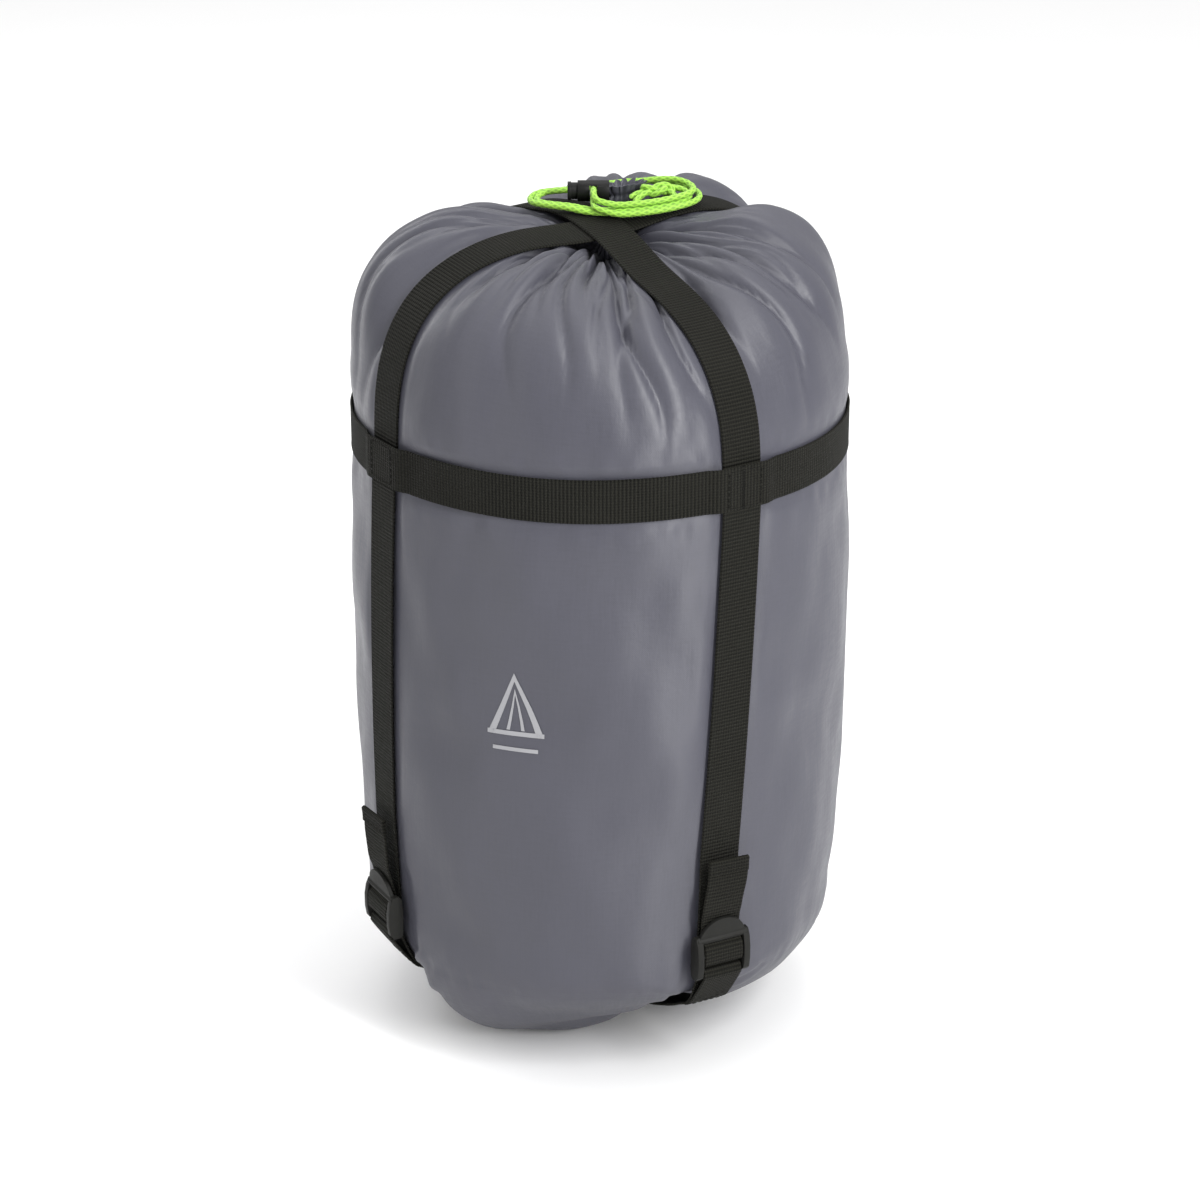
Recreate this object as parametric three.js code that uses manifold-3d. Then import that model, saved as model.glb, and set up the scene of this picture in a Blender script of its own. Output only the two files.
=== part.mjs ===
// Compression sack, stuffed and cinched shut, standing on its base. Millimetres, +Z up.
// The origin is the middle of the base, and the front strap's buckle is at -Y.
// The base, wall and buckles are the lower half. The crown, its crossed straps and the ring
// strap are the upper half, which comes straight down when the straps are pulled in.

import * as THREE from 'three';
import { mergeVertices } from 'three/addons/utils/BufferGeometryUtils.js';
import Module from 'manifold-3d';

const wasm = await Module();
wasm.setup();

// ---- Driving dimensions -----------------------------------------------------------------------
const WEB_WIDTH = 25;
const WEB_THICK = 1.4;
const GAP = 0.3;                  // left between pieces that touch

const RING_RADIUS = 141;          // fabric radius at the ring strap
const RING_HEIGHT = 366;          // middle of the ring strap
const BASE_RADIUS = 137;          // fabric radius just above the rounded base
const BASE_ROUND = 87;            // rounding between base and wall
const WALL_BULGE = 4;             // how far the wall's control point stands out past the ring
const CROWN_RISE = 112;           // from the middle of the ring strap to the top of the fabric
const CROWN_POWER = 3;            // superellipse exponent of the crown's outline
const CROWN_TILT = 10;            // the crown is packed higher at its back
const TILT_TOWARDS = 160;         // degrees round from the front strap
const CROWN_SADDLE = 7;           // and higher under the side straps than under the front one
const LIFT_RADIUS = 50;           // tilt and saddle reach their full size about here
const TWIST = 4.5;                // degrees by which the upper half is turned on the lower one

const FACETS = 48;                // round the sack
const CROWN_COUNT = 11;           // and from its ring strap up to the axis
const STRAP_CLEAR = 0.6;          // kept between the crown's facets and the crossed straps
const SEAM_HEIGHT = 44;           // seam between base panel and side panel
const SPLIT_HEIGHT = 357;         // lower half's fabric ends here, behind the ring strap
const SKIN = 2.2;                 // thickness of the fabric solids

// Half of a base strap's run, [out, up], from the middle of the base to where it leaves the sack.
// The straps pull the filled base in along a cross and leave four lobes for it to stand on.
const BASE_RUN = [[0, 14], [15, 14], [50, 19.5], [75, 27], [98, 36], [116, 45], [129, 54]];
const UNDERPASS = 2;              // the front-to-back base strap crosses this much deeper

const BAR_OUT = 6;                // buckle's bottom bar, out from BASE_RADIUS
const BAR_HEIGHT = 76.5;
const BAR_RADIUS = 2;
const BUCKLE_WIDTH = 34;
const TAIL_START = 97.5;          // the webbing's tail begins here
const HEM_BOTTOM = 138.3;
const HEM_TOP = 148;

const CORD = 3.5;                 // drawcord diameter
const COIL_CENTRE = [22.5, 19.4]; // over the cinched mouth, behind the straps' crossing
const COIL_TURN = -33;            // degrees from the side strap to the coil's long axis
const COIL_HALF = [50, 27];
const COIL_BAND = 10.5;           // the laid strands side by side
const COIL_THICK = 7;
const OVER_STRAPS = 4.6;          // height over the fabric that clears the crossed straps
const KNOT_AT = [24.5, 0];        // in the coil's own axes, as are the lock and the mouth
const KNOT_HALF = [9.5, 6, 3.2];
const LOCK_AT = [-12, -2.5];
const MOUTH_AT = [4.5, 8.5];
const MOUTH_HALF = [11, 4.6];
const MOUTH_HEIGHT = 9.5;

const LOCK_RADIUS = 6;
const LOCK_LENGTH = 18;
const PLUNGER_RADIUS = 4.8;
const PLUNGER_PRESS = 3.2;
const SPRING_WIRE = 0.4;
const SPRING_CLOSED = 1.2;        // room left for the spring when the plunger is pressed in

const FABRIC = { color: 0x72727c, roughness: 0.6, metalness: 0 };
const FILLING = { color: 0x4d5361, roughness: 0.9, metalness: 0 };
const WEBBING = { color: 0x30302a, roughness: 0.8, metalness: 0 };
const PLASTIC = { color: 0x343533, roughness: 0.45, metalness: 0 };
const CORDAGE = { color: 0xa4d84e, roughness: 0.75, metalness: 0 };
const STEEL = { color: 0xb8babd, roughness: 0.3, metalness: 1 };

const rad = THREE.MathUtils.degToRad;
const steps = (count) => Array.from({ length: count + 1 }, (_, i) => i / count);

// ---- Making solids ----------------------------------------------------------------------------
function solid(geometry) {
  const bare = geometry.clone();
  bare.deleteAttribute('normal');
  bare.deleteAttribute('uv');
  const welded = mergeVertices(bare, 1e-4);
  return new wasm.Manifold(new wasm.Mesh({
    numProp: 3,
    vertProperties: Float32Array.from(welded.attributes.position.array),
    triVerts: Uint32Array.from(welded.index.array),
  }));
}

function geometryOf(manifold) {
  const mesh = manifold.getMesh();
  const geometry = new THREE.BufferGeometry();
  geometry.setAttribute('position', new THREE.BufferAttribute(mesh.vertProperties, 3));
  geometry.setIndex(new THREE.BufferAttribute(mesh.triVerts, 1));
  return geometry;
}

function union(geometries) {
  return geometryOf(geometries.map(solid).reduce((whole, next) => whole.add(next)));
}

function cut(geometry, cutters) {
  return geometryOf(cutters.map(solid).reduce((left, next) => left.subtract(next), solid(geometry)));
}

function box(x, y, z, centre) {
  return new THREE.BoxGeometry(x, y, z).translate(...centre);
}

function lathe(profile, segments) {
  const points = profile.map(([radius, height]) => new THREE.Vector2(radius, height));
  return new THREE.LatheGeometry(points, segments).rotateX(Math.PI / 2);
}

function tube(points, radius, sides, count) {
  const curve = new THREE.CatmullRomCurve3(points.map((point) => new THREE.Vector3(...point)));
  const circle = new THREE.Shape().absarc(0, 0, radius, 0, 2 * Math.PI);
  const options = { extrudePath: curve, steps: count, curveSegments: sides, bevelEnabled: false };
  return new THREE.ExtrudeGeometry(circle, options);
}

// A closed outline of [out, up] points, as wide as webbing or a bar. Out points to the front.
function plate(outline, width) {
  const shape = new THREE.Shape(outline.map(([out, up]) => new THREE.Vector2(out, up)));
  const geometry = new THREE.ExtrudeGeometry(shape, { depth: width, bevelEnabled: false });
  return geometry.translate(0, 0, -width / 2).rotateX(Math.PI / 2).rotateZ(-Math.PI / 2);
}

// The line beside a path, to its left where the distance is positive, with mitred corners.
function besidePath(path, distance) {
  return path.map(([out, up], i) => {
    const before = path[Math.max(i - 1, 0)];
    const after = path[Math.min(i + 1, path.length - 1)];
    const arriving = new THREE.Vector2(out - before[0], up - before[1]).normalize();
    const leaving = new THREE.Vector2(after[0] - out, after[1] - up).normalize();
    if (i === 0) arriving.copy(leaving);
    if (i === path.length - 1) leaving.copy(arriving);
    const left = new THREE.Vector2(-arriving.y - leaving.y, arriving.x + leaving.x).normalize();
    const reach = distance / Math.max(left.dot(new THREE.Vector2(-arriving.y, arriving.x)), 0.6);
    return [out + left.x * reach, up + left.y * reach];
  });
}

// Webbing with one face on a path of [out, up] points and its thickness to the path's right.
function ribbon(path, thick = WEB_THICK, width = WEB_WIDTH) {
  return plate([...path, ...besidePath(path, -thick).reverse()], width);
}

// ---- The sack's surface -----------------------------------------------------------------------
// On the base's rounding: angle 0 is where the flat base ends, a right angle where the wall starts.
function roundPoint(angle, offset) {
  const reach = BASE_ROUND + offset;
  return [BASE_RADIUS - BASE_ROUND + reach * Math.sin(angle), BASE_ROUND - reach * Math.cos(angle)];
}

function roundAngle(height) {
  return Math.acos((BASE_ROUND - height) / BASE_ROUND);
}

function rounding(from, to, count, offset) {
  return steps(count).map((t) => roundPoint(from + (to - from) * t, offset));
}

function wallRadius(height) {
  if (height < BASE_ROUND) return roundPoint(roundAngle(height), 0)[0];
  const t = (height - BASE_ROUND) / (RING_HEIGHT - BASE_ROUND);
  const bulge = RING_RADIUS + WALL_BULGE;
  return BASE_RADIUS * (1 - t) ** 2 + 2 * bulge * t * (1 - t) + RING_RADIUS * t ** 2;
}

function wall(low, high, count, offset) {
  return steps(count).map((t) => {
    const height = low + (high - low) * t;
    return [wallRadius(height) + offset, height];
  });
}

// The crown before it is lifted: t is 0 at the ring strap and 1 on the axis.
function crownPoint(t, offset) {
  const across = t < 1 ? Math.cos(t * Math.PI / 2) ** (2 / CROWN_POWER) : 0;
  const up = Math.sin(t * Math.PI / 2) ** (2 / CROWN_POWER);
  const normal = new THREE.Vector2(across ** 2 / RING_RADIUS, up ** 2 / CROWN_RISE).normalize();
  const radius = Math.max(RING_RADIUS * across + normal.x * offset, 0);
  return [radius, RING_HEIGHT + CROWN_RISE * up + normal.y * offset];
}

function crownPath(count, offset) {
  return steps(count).map((t) => crownPoint((1 - Math.cos(Math.PI * t)) / 2, offset));
}

// How much higher than a round crown the real one is at a point on it.
function lift(x, y, z) {
  const radius = Math.hypot(x, y);
  const direction = Math.atan2(x, -y);
  const inner = radius / (radius ** 4 + LIFT_RADIUS ** 4) ** 0.25;
  const climb = THREE.MathUtils.clamp((z - RING_HEIGHT) / CROWN_RISE / 0.85, 0, 1);
  const tilt = CROWN_TILT * inner * Math.cos(direction - rad(TILT_TOWARDS));
  const saddle = -CROWN_SADDLE * inner ** 2 * Math.cos(2 * direction);
  return Math.sin(climb * Math.PI / 2) * (tilt + saddle);
}

// Height of the crown's fabric over a point.
function crownHeight(x, y) {
  const across = Math.hypot(x, y) / RING_RADIUS;
  const height = RING_HEIGHT + CROWN_RISE * (1 - across ** CROWN_POWER) ** (1 / CROWN_POWER);
  return height + lift(x, y, height);
}

function moveVertices(geometry, move) {
  const position = geometry.attributes.position;
  const point = new THREE.Vector3();
  for (let i = 0; i < position.count; i++) {
    move(point.fromBufferAttribute(position, i));
    position.setXYZ(i, point.x, point.y, point.z);
  }
  return geometry;
}

const lifted = (geometry) => moveVertices(geometry, (p) => p.setZ(p.z + lift(p.x, p.y, p.z)));
const draped = (geometry) => moveVertices(geometry, (p) => p.setZ(p.z + crownHeight(p.x, p.y)));

// Risers lean, because the ring strap is turned a little against the buckles.
const leaning = (geometry) => moveVertices(geometry, (p) => {
  const t = THREE.MathUtils.clamp((p.z - HEM_TOP) / (RING_HEIGHT - HEM_TOP), 0, 1);
  p.applyAxisAngle(new THREE.Vector3(0, 0, 1), rad(TWIST) * t);
});

// ---- Base -------------------------------------------------------------------------------------
// The inner face of half a base strap, raised at the middle by dip, where the two straps cross.
function baseRun(dip, offset) {
  const run = BASE_RUN.map(([out, up]) => [out, up + dip * (1 - THREE.MathUtils.smoothstep(out, 15, 50))]);
  return besidePath([...run, JOINED_AT], offset);
}

// Where a base strap's inner face meets its own loop round the bottom bar.
const LOOP_RADIUS = BAR_RADIUS + GAP + 0.1;
const JOINED_AT = [BASE_RADIUS + BAR_OUT - LOOP_RADIUS - WEB_THICK / 2, BAR_HEIGHT - 1];

// A strap under the sack, with each end sewn into a loop round a buckle's bottom bar.
function baseStrap(dip) {
  const ring = new THREE.Shape().absarc(0, 0, LOOP_RADIUS + WEB_THICK, 0, 2 * Math.PI);
  ring.holes.push(new THREE.Path().absarc(0, 0, LOOP_RADIUS, 0, 2 * Math.PI));
  const options = { depth: WEB_WIDTH, bevelEnabled: false, curveSegments: 9 };
  const loop = new THREE.ExtrudeGeometry(ring, options).translate(0, 0, -WEB_WIDTH / 2);
  loop.rotateX(Math.PI / 2).rotateZ(-Math.PI / 2);
  loop.translate(0, -BASE_RADIUS - BAR_OUT, BAR_HEIGHT);
  const half = union([ribbon(baseRun(dip, 0)), loop]);
  const height = BASE_RUN[0][1] + dip - WEB_THICK / 2;
  const middle = box(WEB_WIDTH, 2, WEB_THICK, [0, 0, height]);
  return union([half, half.clone().rotateZ(Math.PI), middle]);
}

// What is cut from the fabric so that a strap can pass: from its inner face outwards.
function strapRoom(dip) {
  const top = baseRun(dip, GAP);
  const [out, up] = top[top.length - 1];
  const below = [[out + 20, up - 10], [BASE_RADIUS, -20], [0, -20]];
  const half = plate([...top, ...below], WEB_WIDTH + 1);
  const height = BASE_RUN[0][1] + dip + GAP;
  const middle = box(WEB_WIDTH + 1, 2, height + 20, [0, 0, height / 2 - 10]);
  return [half, half.clone().rotateZ(Math.PI), middle];
}

// The filled base: four lobes parted by the strap grooves.
function basePanel() {
  const filled = lathe([[0, 0], ...rounding(0, roundAngle(SEAM_HEIGHT), 6, 0), [0, SEAM_HEIGHT]], FACETS);
  const across = strapRoom(0).map((room) => room.rotateZ(Math.PI / 2));
  return cut(filled, [...across, ...strapRoom(UNDERPASS)]);
}

function sidePanel() {
  const low = roundAngle(SEAM_HEIGHT + 1);
  const side = (offset) => [
    ...rounding(low, Math.PI / 2, 3, offset),
    ...wall(BASE_ROUND + 25, SPLIT_HEIGHT - GAP, 5, offset),
  ];
  const shell = lathe([...side(0), ...side(-SKIN).reverse(), side(0)[0]], FACETS);
  const rooms = [0, 1, 2, 3].map((turn) => strapRoom(0)[0].rotateZ(turn * Math.PI / 2));
  return cut(shell, rooms);
}

function packedContents() {
  const floor = BASE_RUN[BASE_RUN.length - 1][1] + 4;
  const low = rounding(roundAngle(floor), Math.PI / 2, 3, -6);
  const side = wall(BASE_ROUND + 25, SPLIT_HEIGHT - 7, 4, -SKIN - 1);
  return lathe([[0, low[0][1]], ...low, ...side, [0, SPLIT_HEIGHT - 7]], 32);
}

// ---- Buckles and the webbing in them, drawn for the front ------------------------------------------
const at = (out, up) => [BASE_RADIUS + out, up];

function ladderLock() {
  const cheekWidth = (BUCKLE_WIDTH - WEB_WIDTH) / 2 - 0.7;
  const cheek = plate([
    at(4, 73.6), at(8, 73.6), at(10.4, 76), at(11.4, 82), at(11.4, 90),
    at(10.4, 96), at(8.6, 100), at(5.4, 100.6), at(3, 98), at(2.4, 92), at(2.4, 79), at(2.8, 75),
  ], cheekWidth);
  const side = (BUCKLE_WIDTH - cheekWidth) / 2;
  const length = BUCKLE_WIDTH - 2;
  const bottom = new THREE.CylinderGeometry(BAR_RADIUS, BAR_RADIUS, length, 14).rotateZ(Math.PI / 2);
  bottom.translate(0, -BASE_RADIUS - BAR_OUT, BAR_HEIGHT);
  const middle = plate([at(4.4, 86.2), at(6.6, 86.8), at(6.6, 89.6), at(4.4, 90.2)], length);
  const top = plate([at(5.6, 97.4), at(9.2, 96.4), at(10, 98.4), at(8.4, 100.4), at(5.8, 100)], length);
  const halfMoon = new THREE.Shape();
  halfMoon.moveTo(-15, 0);
  halfMoon.lineTo(15, 0);
  halfMoon.bezierCurveTo(13.5, 8.5, 8, 13.2, 0, 13.2);
  halfMoon.bezierCurveTo(-8, 13.2, -13.5, 8.5, -15, 0);
  const tab = new THREE.ExtrudeGeometry(halfMoon, { depth: 2.2, bevelEnabled: false, curveSegments: 6 });
  tab.rotateX(Math.PI / 2 + rad(9)).translate(0, -BASE_RADIUS - 6.6, 98.2);
  const cheeks = [side, -side].map((x) => cheek.clone().translate(x, 0, 0));
  return union([...cheeks, bottom, middle, top, tab]);
}

// The webbing's turn through the buckle: forward under the middle bar, up over it and back.
function strapWrap() {
  return ribbon([
    at(3, 82.9), at(7.7, 82.9), at(8.5, 85), at(8.5, 91.4), at(7.2, 93.2), at(4.2, 93.6),
    at(3.7, 95), at(4, TAIL_START - GAP),
  ], -WEB_THICK);
}

function riser() {
  return leaning(ribbon(wall(84, RING_HEIGHT - GAP, 12, GAP)));
}

function tailStrip() {
  return ribbon([at(4, TAIL_START), at(5, 111), at(6.8, 124), at(8.8, HEM_BOTTOM - GAP)]);
}

function tailHem() {
  return ribbon([at(8.8, HEM_BOTTOM), at(9.4, HEM_TOP)], 2 * WEB_THICK + 0.2);
}

// ---- Crown ------------------------------------------------------------------------------------
function crownPanel() {
  const outer = [[RING_RADIUS, SPLIT_HEIGHT], ...crownPath(CROWN_COUNT, 0)];
  const inner = [[RING_RADIUS - SKIN, SPLIT_HEIGHT], ...crownPath(CROWN_COUNT, -SKIN)];
  return lifted(lathe([...outer, ...inner.reverse(), outer[0]], FACETS));
}

function crownContents() {
  const top = crownPath(CROWN_COUNT, -SKIN - 0.8);
  const radius = RING_RADIUS - SKIN - 0.8;
  return lifted(lathe([[0, SPLIT_HEIGHT + 1], [radius, SPLIT_HEIGHT + 1], ...top], 40));
}

// A strap over the crown from ring to ring. Over is how far it is raised at the crossing.
function crossStrap(over, turn) {
  const half = crownPath(CROWN_COUNT, GAP).map(([radius, height]) => {
    const near = 1 - THREE.MathUtils.smoothstep(radius, WEB_WIDTH / 2 + 3, 55);
    const clear = STRAP_CLEAR * THREE.MathUtils.smoothstep(height, RING_HEIGHT, RING_HEIGHT + 60);
    return [radius, height + clear + over * near];
  });
  const far = half.slice(0, -1).map(([radius, height]) => [-radius, height]);
  return lifted(ribbon([...half, ...far.reverse()]).rotateZ(turn));
}

function ringStrap() {
  const inner = Math.hypot(RING_RADIUS + GAP + WEB_THICK, WEB_WIDTH / 2) + 0.2 + GAP;
  const low = RING_HEIGHT - WEB_WIDTH / 2;
  const high = RING_HEIGHT + WEB_WIDTH / 2;
  const outer = inner + WEB_THICK;
  return lathe([[inner, low], [outer, low], [outer, high], [inner, high], [inner, low]], 64);
}

// ---- Mouth, drawcord and cord lock --------------------------------------------------------------
const [coilX, coilY] = COIL_CENTRE;
const onCoil = (geometry) => geometry.rotateZ(rad(COIL_TURN)).translate(coilX, coilY, 0);

function onCoilPoint(u, v) {
  return new THREE.Vector3(u, v, 0).applyAxisAngle(new THREE.Vector3(0, 0, 1), rad(COIL_TURN))
    .add(new THREE.Vector3(coilX, coilY, 0));
}

const lockPoint = onCoilPoint(...LOCK_AT);
const LOCK_HEIGHT = crownHeight(lockPoint.x, lockPoint.y) + OVER_STRAPS + LOCK_RADIUS;

// The gathered hem that the cord runs in, bunched into flutes.
function mouthChannel() {
  const flutes = 13;
  const points = steps(flutes * 4).slice(0, -1).map((t) => {
    const angle = 2 * Math.PI * t;
    const ripple = 1 + 0.09 * Math.cos(flutes * angle);
    const [u, v] = MOUTH_HALF;
    return new THREE.Vector2(u * ripple * Math.cos(angle), v * ripple * Math.sin(angle));
  });
  const depth = MOUTH_HEIGHT - GAP;
  const bunch = new THREE.ExtrudeGeometry(new THREE.Shape(points), { depth, bevelEnabled: false });
  return draped(onCoil(bunch.translate(...MOUTH_AT, 2 * GAP)));
}

function cordCoil() {
  const [u, v] = COIL_HALF;
  const oval = new THREE.Shape().absellipse(0, 0, u, v, 0, 2 * Math.PI);
  oval.holes.push(new THREE.Path().absellipse(0, 0, u - COIL_BAND, v - COIL_BAND, 0, 2 * Math.PI));
  const laid = { depth: COIL_THICK, bevelEnabled: false, curveSegments: 26 };
  const ring = new THREE.ExtrudeGeometry(oval, laid);
  return draped(onCoil(ring.translate(0, 0, OVER_STRAPS)));
}

function cordKnot() {
  const knot = new THREE.SphereGeometry(1, 16, 10).scale(...KNOT_HALF);
  return draped(onCoil(knot.translate(...KNOT_AT, OVER_STRAPS + KNOT_HALF[2])));
}

// One of the two strands that leave the mouth and pass through the lock, one over the other.
function cordLead(level) {
  const [u, v] = LOCK_AT;
  const start = MOUTH_AT[0] - MOUTH_HALF[0] * 1.09 - 3 * GAP;
  const bend = start - u;
  const high = LOCK_HEIGHT + level;
  const low = LOCK_HEIGHT + 1.2 * level;
  const route = [
    [start, MOUTH_AT[1], low - 4], [start - 0.45 * bend, MOUTH_AT[1] - 0.3 * bend, low - 2.6],
    [u + 0.06 * bend, MOUTH_AT[1] - bend, high - 0.5], [u, v + LOCK_RADIUS, high], [u, v, high],
    [u, v - LOCK_RADIUS, high], [u, 2 - COIL_HALF[1] + COIL_BAND, high],
  ];
  return onCoil(tube(route, CORD / 2, 3, 16));
}

// Lock pieces are drawn along +Y, with the button that way, and then turned onto the coil's axes.
function placedLock(geometry) {
  geometry.rotateZ(Math.PI / 2).translate(...LOCK_AT, LOCK_HEIGHT);
  return onCoil(geometry);
}

const BORE_END = -LOCK_LENGTH / 2 + 1.2;
const STEM_END = BORE_END + PLUNGER_PRESS + SPRING_CLOSED;
const CORD_ROOM = CORD + 0.9;

function cordSlot(low, high) {
  return box(4 * LOCK_RADIUS, high - low, 2 * CORD + 1, [0, (low + high) / 2, 0]);
}

function lockBarrel() {
  const body = new THREE.CylinderGeometry(LOCK_RADIUS, LOCK_RADIUS, LOCK_LENGTH, 20);
  const radius = PLUNGER_RADIUS + GAP;
  const bore = new THREE.CylinderGeometry(radius, radius, LOCK_LENGTH, 20);
  bore.translate(0, BORE_END + LOCK_LENGTH / 2, 0);
  return placedLock(cut(body, [bore, cordSlot(-CORD_ROOM / 2, CORD_ROOM / 2)]));
}

function lockPlunger() {
  const length = LOCK_LENGTH / 2 + PLUNGER_PRESS + 0.6 - STEM_END;
  const stem = new THREE.CylinderGeometry(PLUNGER_RADIUS, PLUNGER_RADIUS, length, 20);
  stem.translate(0, STEM_END + length / 2, 0);
  const button = new THREE.CylinderGeometry(LOCK_RADIUS - 0.7, LOCK_RADIUS - 0.7, 2, 20);
  button.translate(0, STEM_END + length + 0.9, 0);
  return placedLock(cut(union([stem, button]), [cordSlot(-CORD_ROOM / 2, CORD_ROOM / 2 + PLUNGER_PRESS)]));
}

// A cone, so that its turns lie one inside the other when it is pressed flat.
function lockSpring() {
  const turns = 2;
  const wireRoom = SPRING_WIRE + 0.15;
  const run = STEM_END - BORE_END - 2 * wireRoom;
  const narrowing = turns * (2 * SPRING_WIRE + 0.1);
  const route = steps(turns * 10).map((t) => {
    const angle = 2 * Math.PI * turns * t;
    const radius = PLUNGER_RADIUS - 0.8 - narrowing * t;
    return [radius * Math.cos(angle), BORE_END + wireRoom + run * t, radius * Math.sin(angle)];
  });
  return placedLock(tube(route, SPRING_WIRE, 3, turns * 12));
}

// ---- The assembly -----------------------------------------------------------------------------
const sack = new THREE.Group();
const crown = new THREE.Group();
crown.rotation.z = rad(TWIST);
sack.add(crown);

function add(parent, name, geometry, look, turn = 0) {
  const mesh = new THREE.Mesh(geometry, new THREE.MeshStandardMaterial(look));
  mesh.name = name;
  mesh.rotation.z = turn;
  parent.add(mesh);
}

add(sack, 'base_panel', basePanel(), FABRIC);
add(sack, 'side_panel', sidePanel(), FABRIC);
add(sack, 'packed_contents', packedContents(), FILLING);
add(sack, 'base_strap_front_back', baseStrap(UNDERPASS), WEBBING);
add(sack, 'base_strap_side_to_side', baseStrap(0), WEBBING, Math.PI / 2);

const SIDES = ['front', 'right', 'back', 'left'];
SIDES.forEach((side, quarter) => {
  const turn = quarter * Math.PI / 2;
  add(sack, `ladder_lock_${side}`, ladderLock(), PLASTIC, turn);
  add(sack, `strap_wrap_${side}`, strapWrap(), WEBBING, turn);
  add(sack, `riser_${side}`, riser(), WEBBING, turn);
  add(sack, `tail_strip_${side}`, tailStrip(), WEBBING, turn);
  add(sack, `tail_hem_${side}`, tailHem(), WEBBING, turn);
});

add(crown, 'crown_panel', crownPanel(), FABRIC);
add(crown, 'crown_contents', crownContents(), FILLING);
add(crown, 'cross_strap_side_to_side', crossStrap(0, Math.PI / 2), WEBBING);
add(crown, 'cross_strap_front_back', crossStrap(WEB_THICK + GAP, 0), WEBBING);
add(crown, 'ring_strap', ringStrap(), WEBBING);
add(crown, 'mouth_channel', mouthChannel(), FABRIC);
add(crown, 'cord_coil', cordCoil(), CORDAGE);
add(crown, 'cord_knot', cordKnot(), CORDAGE);
add(crown, 'cord_lead_upper', cordLead(CORD / 2 + 0.2), CORDAGE);
add(crown, 'cord_lead_lower', cordLead(-CORD / 2 - 0.2), CORDAGE);
add(crown, 'cord_lock_barrel', lockBarrel(), PLASTIC);
add(crown, 'cord_lock_plunger', lockPlunger(), PLASTIC);
add(crown, 'cord_lock_spring', lockSpring(), STEEL);

export default sack;
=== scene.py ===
"""Looks of a stuffed compression sack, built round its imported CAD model. Metres, +Z up.

Directions round the sack are angles from the front strap (-Y), growing towards the right one (+X).
Surface formulas repeat the CAD source's, in millimetres, and are turned to metres when meshes are made.
"""
import math

import bpy
import numpy as np
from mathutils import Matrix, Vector
from mathutils.bvhtree import BVHTree


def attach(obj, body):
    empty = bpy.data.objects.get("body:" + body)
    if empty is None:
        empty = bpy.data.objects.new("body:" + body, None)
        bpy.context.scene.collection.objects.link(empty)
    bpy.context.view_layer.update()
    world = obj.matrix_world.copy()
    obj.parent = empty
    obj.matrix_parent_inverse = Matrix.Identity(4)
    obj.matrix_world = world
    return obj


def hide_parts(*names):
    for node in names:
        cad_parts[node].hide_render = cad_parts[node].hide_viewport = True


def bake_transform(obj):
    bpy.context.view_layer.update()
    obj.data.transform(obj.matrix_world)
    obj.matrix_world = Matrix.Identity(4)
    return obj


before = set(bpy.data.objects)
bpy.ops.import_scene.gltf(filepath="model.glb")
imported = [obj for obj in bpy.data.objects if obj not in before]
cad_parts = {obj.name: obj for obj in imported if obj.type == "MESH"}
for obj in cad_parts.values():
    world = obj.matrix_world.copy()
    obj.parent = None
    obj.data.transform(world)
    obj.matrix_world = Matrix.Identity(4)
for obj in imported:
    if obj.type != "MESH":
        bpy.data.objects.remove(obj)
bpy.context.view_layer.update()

MM = 0.001
CHANCE = np.random.default_rng(7)

# ---- Driving dimensions of the CAD model, in millimetres ----
WEB_WIDTH = 25
HALF_WEB = WEB_WIDTH / 2
WEB_THICK = 1.4
GAP = 0.3
RING_RADIUS = 141
RING_HEIGHT = 366
BASE_RADIUS = 137
BASE_ROUND = 87
WALL_BULGE = 4
CROWN_RISE = 112
CROWN_POWER = 3
CROWN_TILT = 10
TILT_TOWARDS = math.radians(160)
CROWN_SADDLE = 7
LIFT_RADIUS = 50
TWIST = math.radians(4.5)
TWIST_FROM = 148
STRAP_CLEAR = 0.6
BASE_RUN = [(0, 14), (15, 14), (50, 19.5), (75, 27), (98, 36), (116, 45), (129, 54)]
UNDERPASS = 2
BAR_OUT = 6
BAR_HEIGHT = 76.5
LOOP_RADIUS = 2.4
TAIL_START = 97.5
HEM_BOTTOM = 138.3
HEM_TOP = 148

CORD = 3.5
COIL_CENTRE = np.array([22.5, 19.4])
COIL_TURN = math.radians(-33)
OVER_STRAPS = 4.6
LOCK_AT = (-12, -2.5)
LOCK_RADIUS = 6
MOUTH_AT = (4.5, 8.5)
MOUTH_HALF = (11, 4.6)
MOUTH_HEIGHT = 9.5
KNOT_AT = (24.5, 0)
KNOT_HALF = (9.5, 6, 3.2)

SIDES = ["front", "right", "back", "left"]
QUARTER = math.pi / 2


def smooth(value, low, high):
    t = np.clip((np.asarray(value, float) - low) / (high - low), 0, 1)
    return t * t * (3 - 2 * t)


def bell(value, middle, width):
    """1 in the middle, falling smoothly to 0 on both sides of it."""
    return np.exp(-(((value - middle) / width) ** 2))


def turned(points, angle):
    """Points turned about +Z."""
    c, s = np.cos(angle), np.sin(angle)
    x, y, z = points[..., 0], points[..., 1], points[..., 2]
    return np.stack([x * c - y * s, x * s + y * c, z], -1)


def twist_at(z):
    """How far the fabric and straps at a height are turned by the upper half's twist."""
    return TWIST * np.clip((z - TWIST_FROM) / (RING_HEIGHT - TWIST_FROM), 0, 1)


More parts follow.
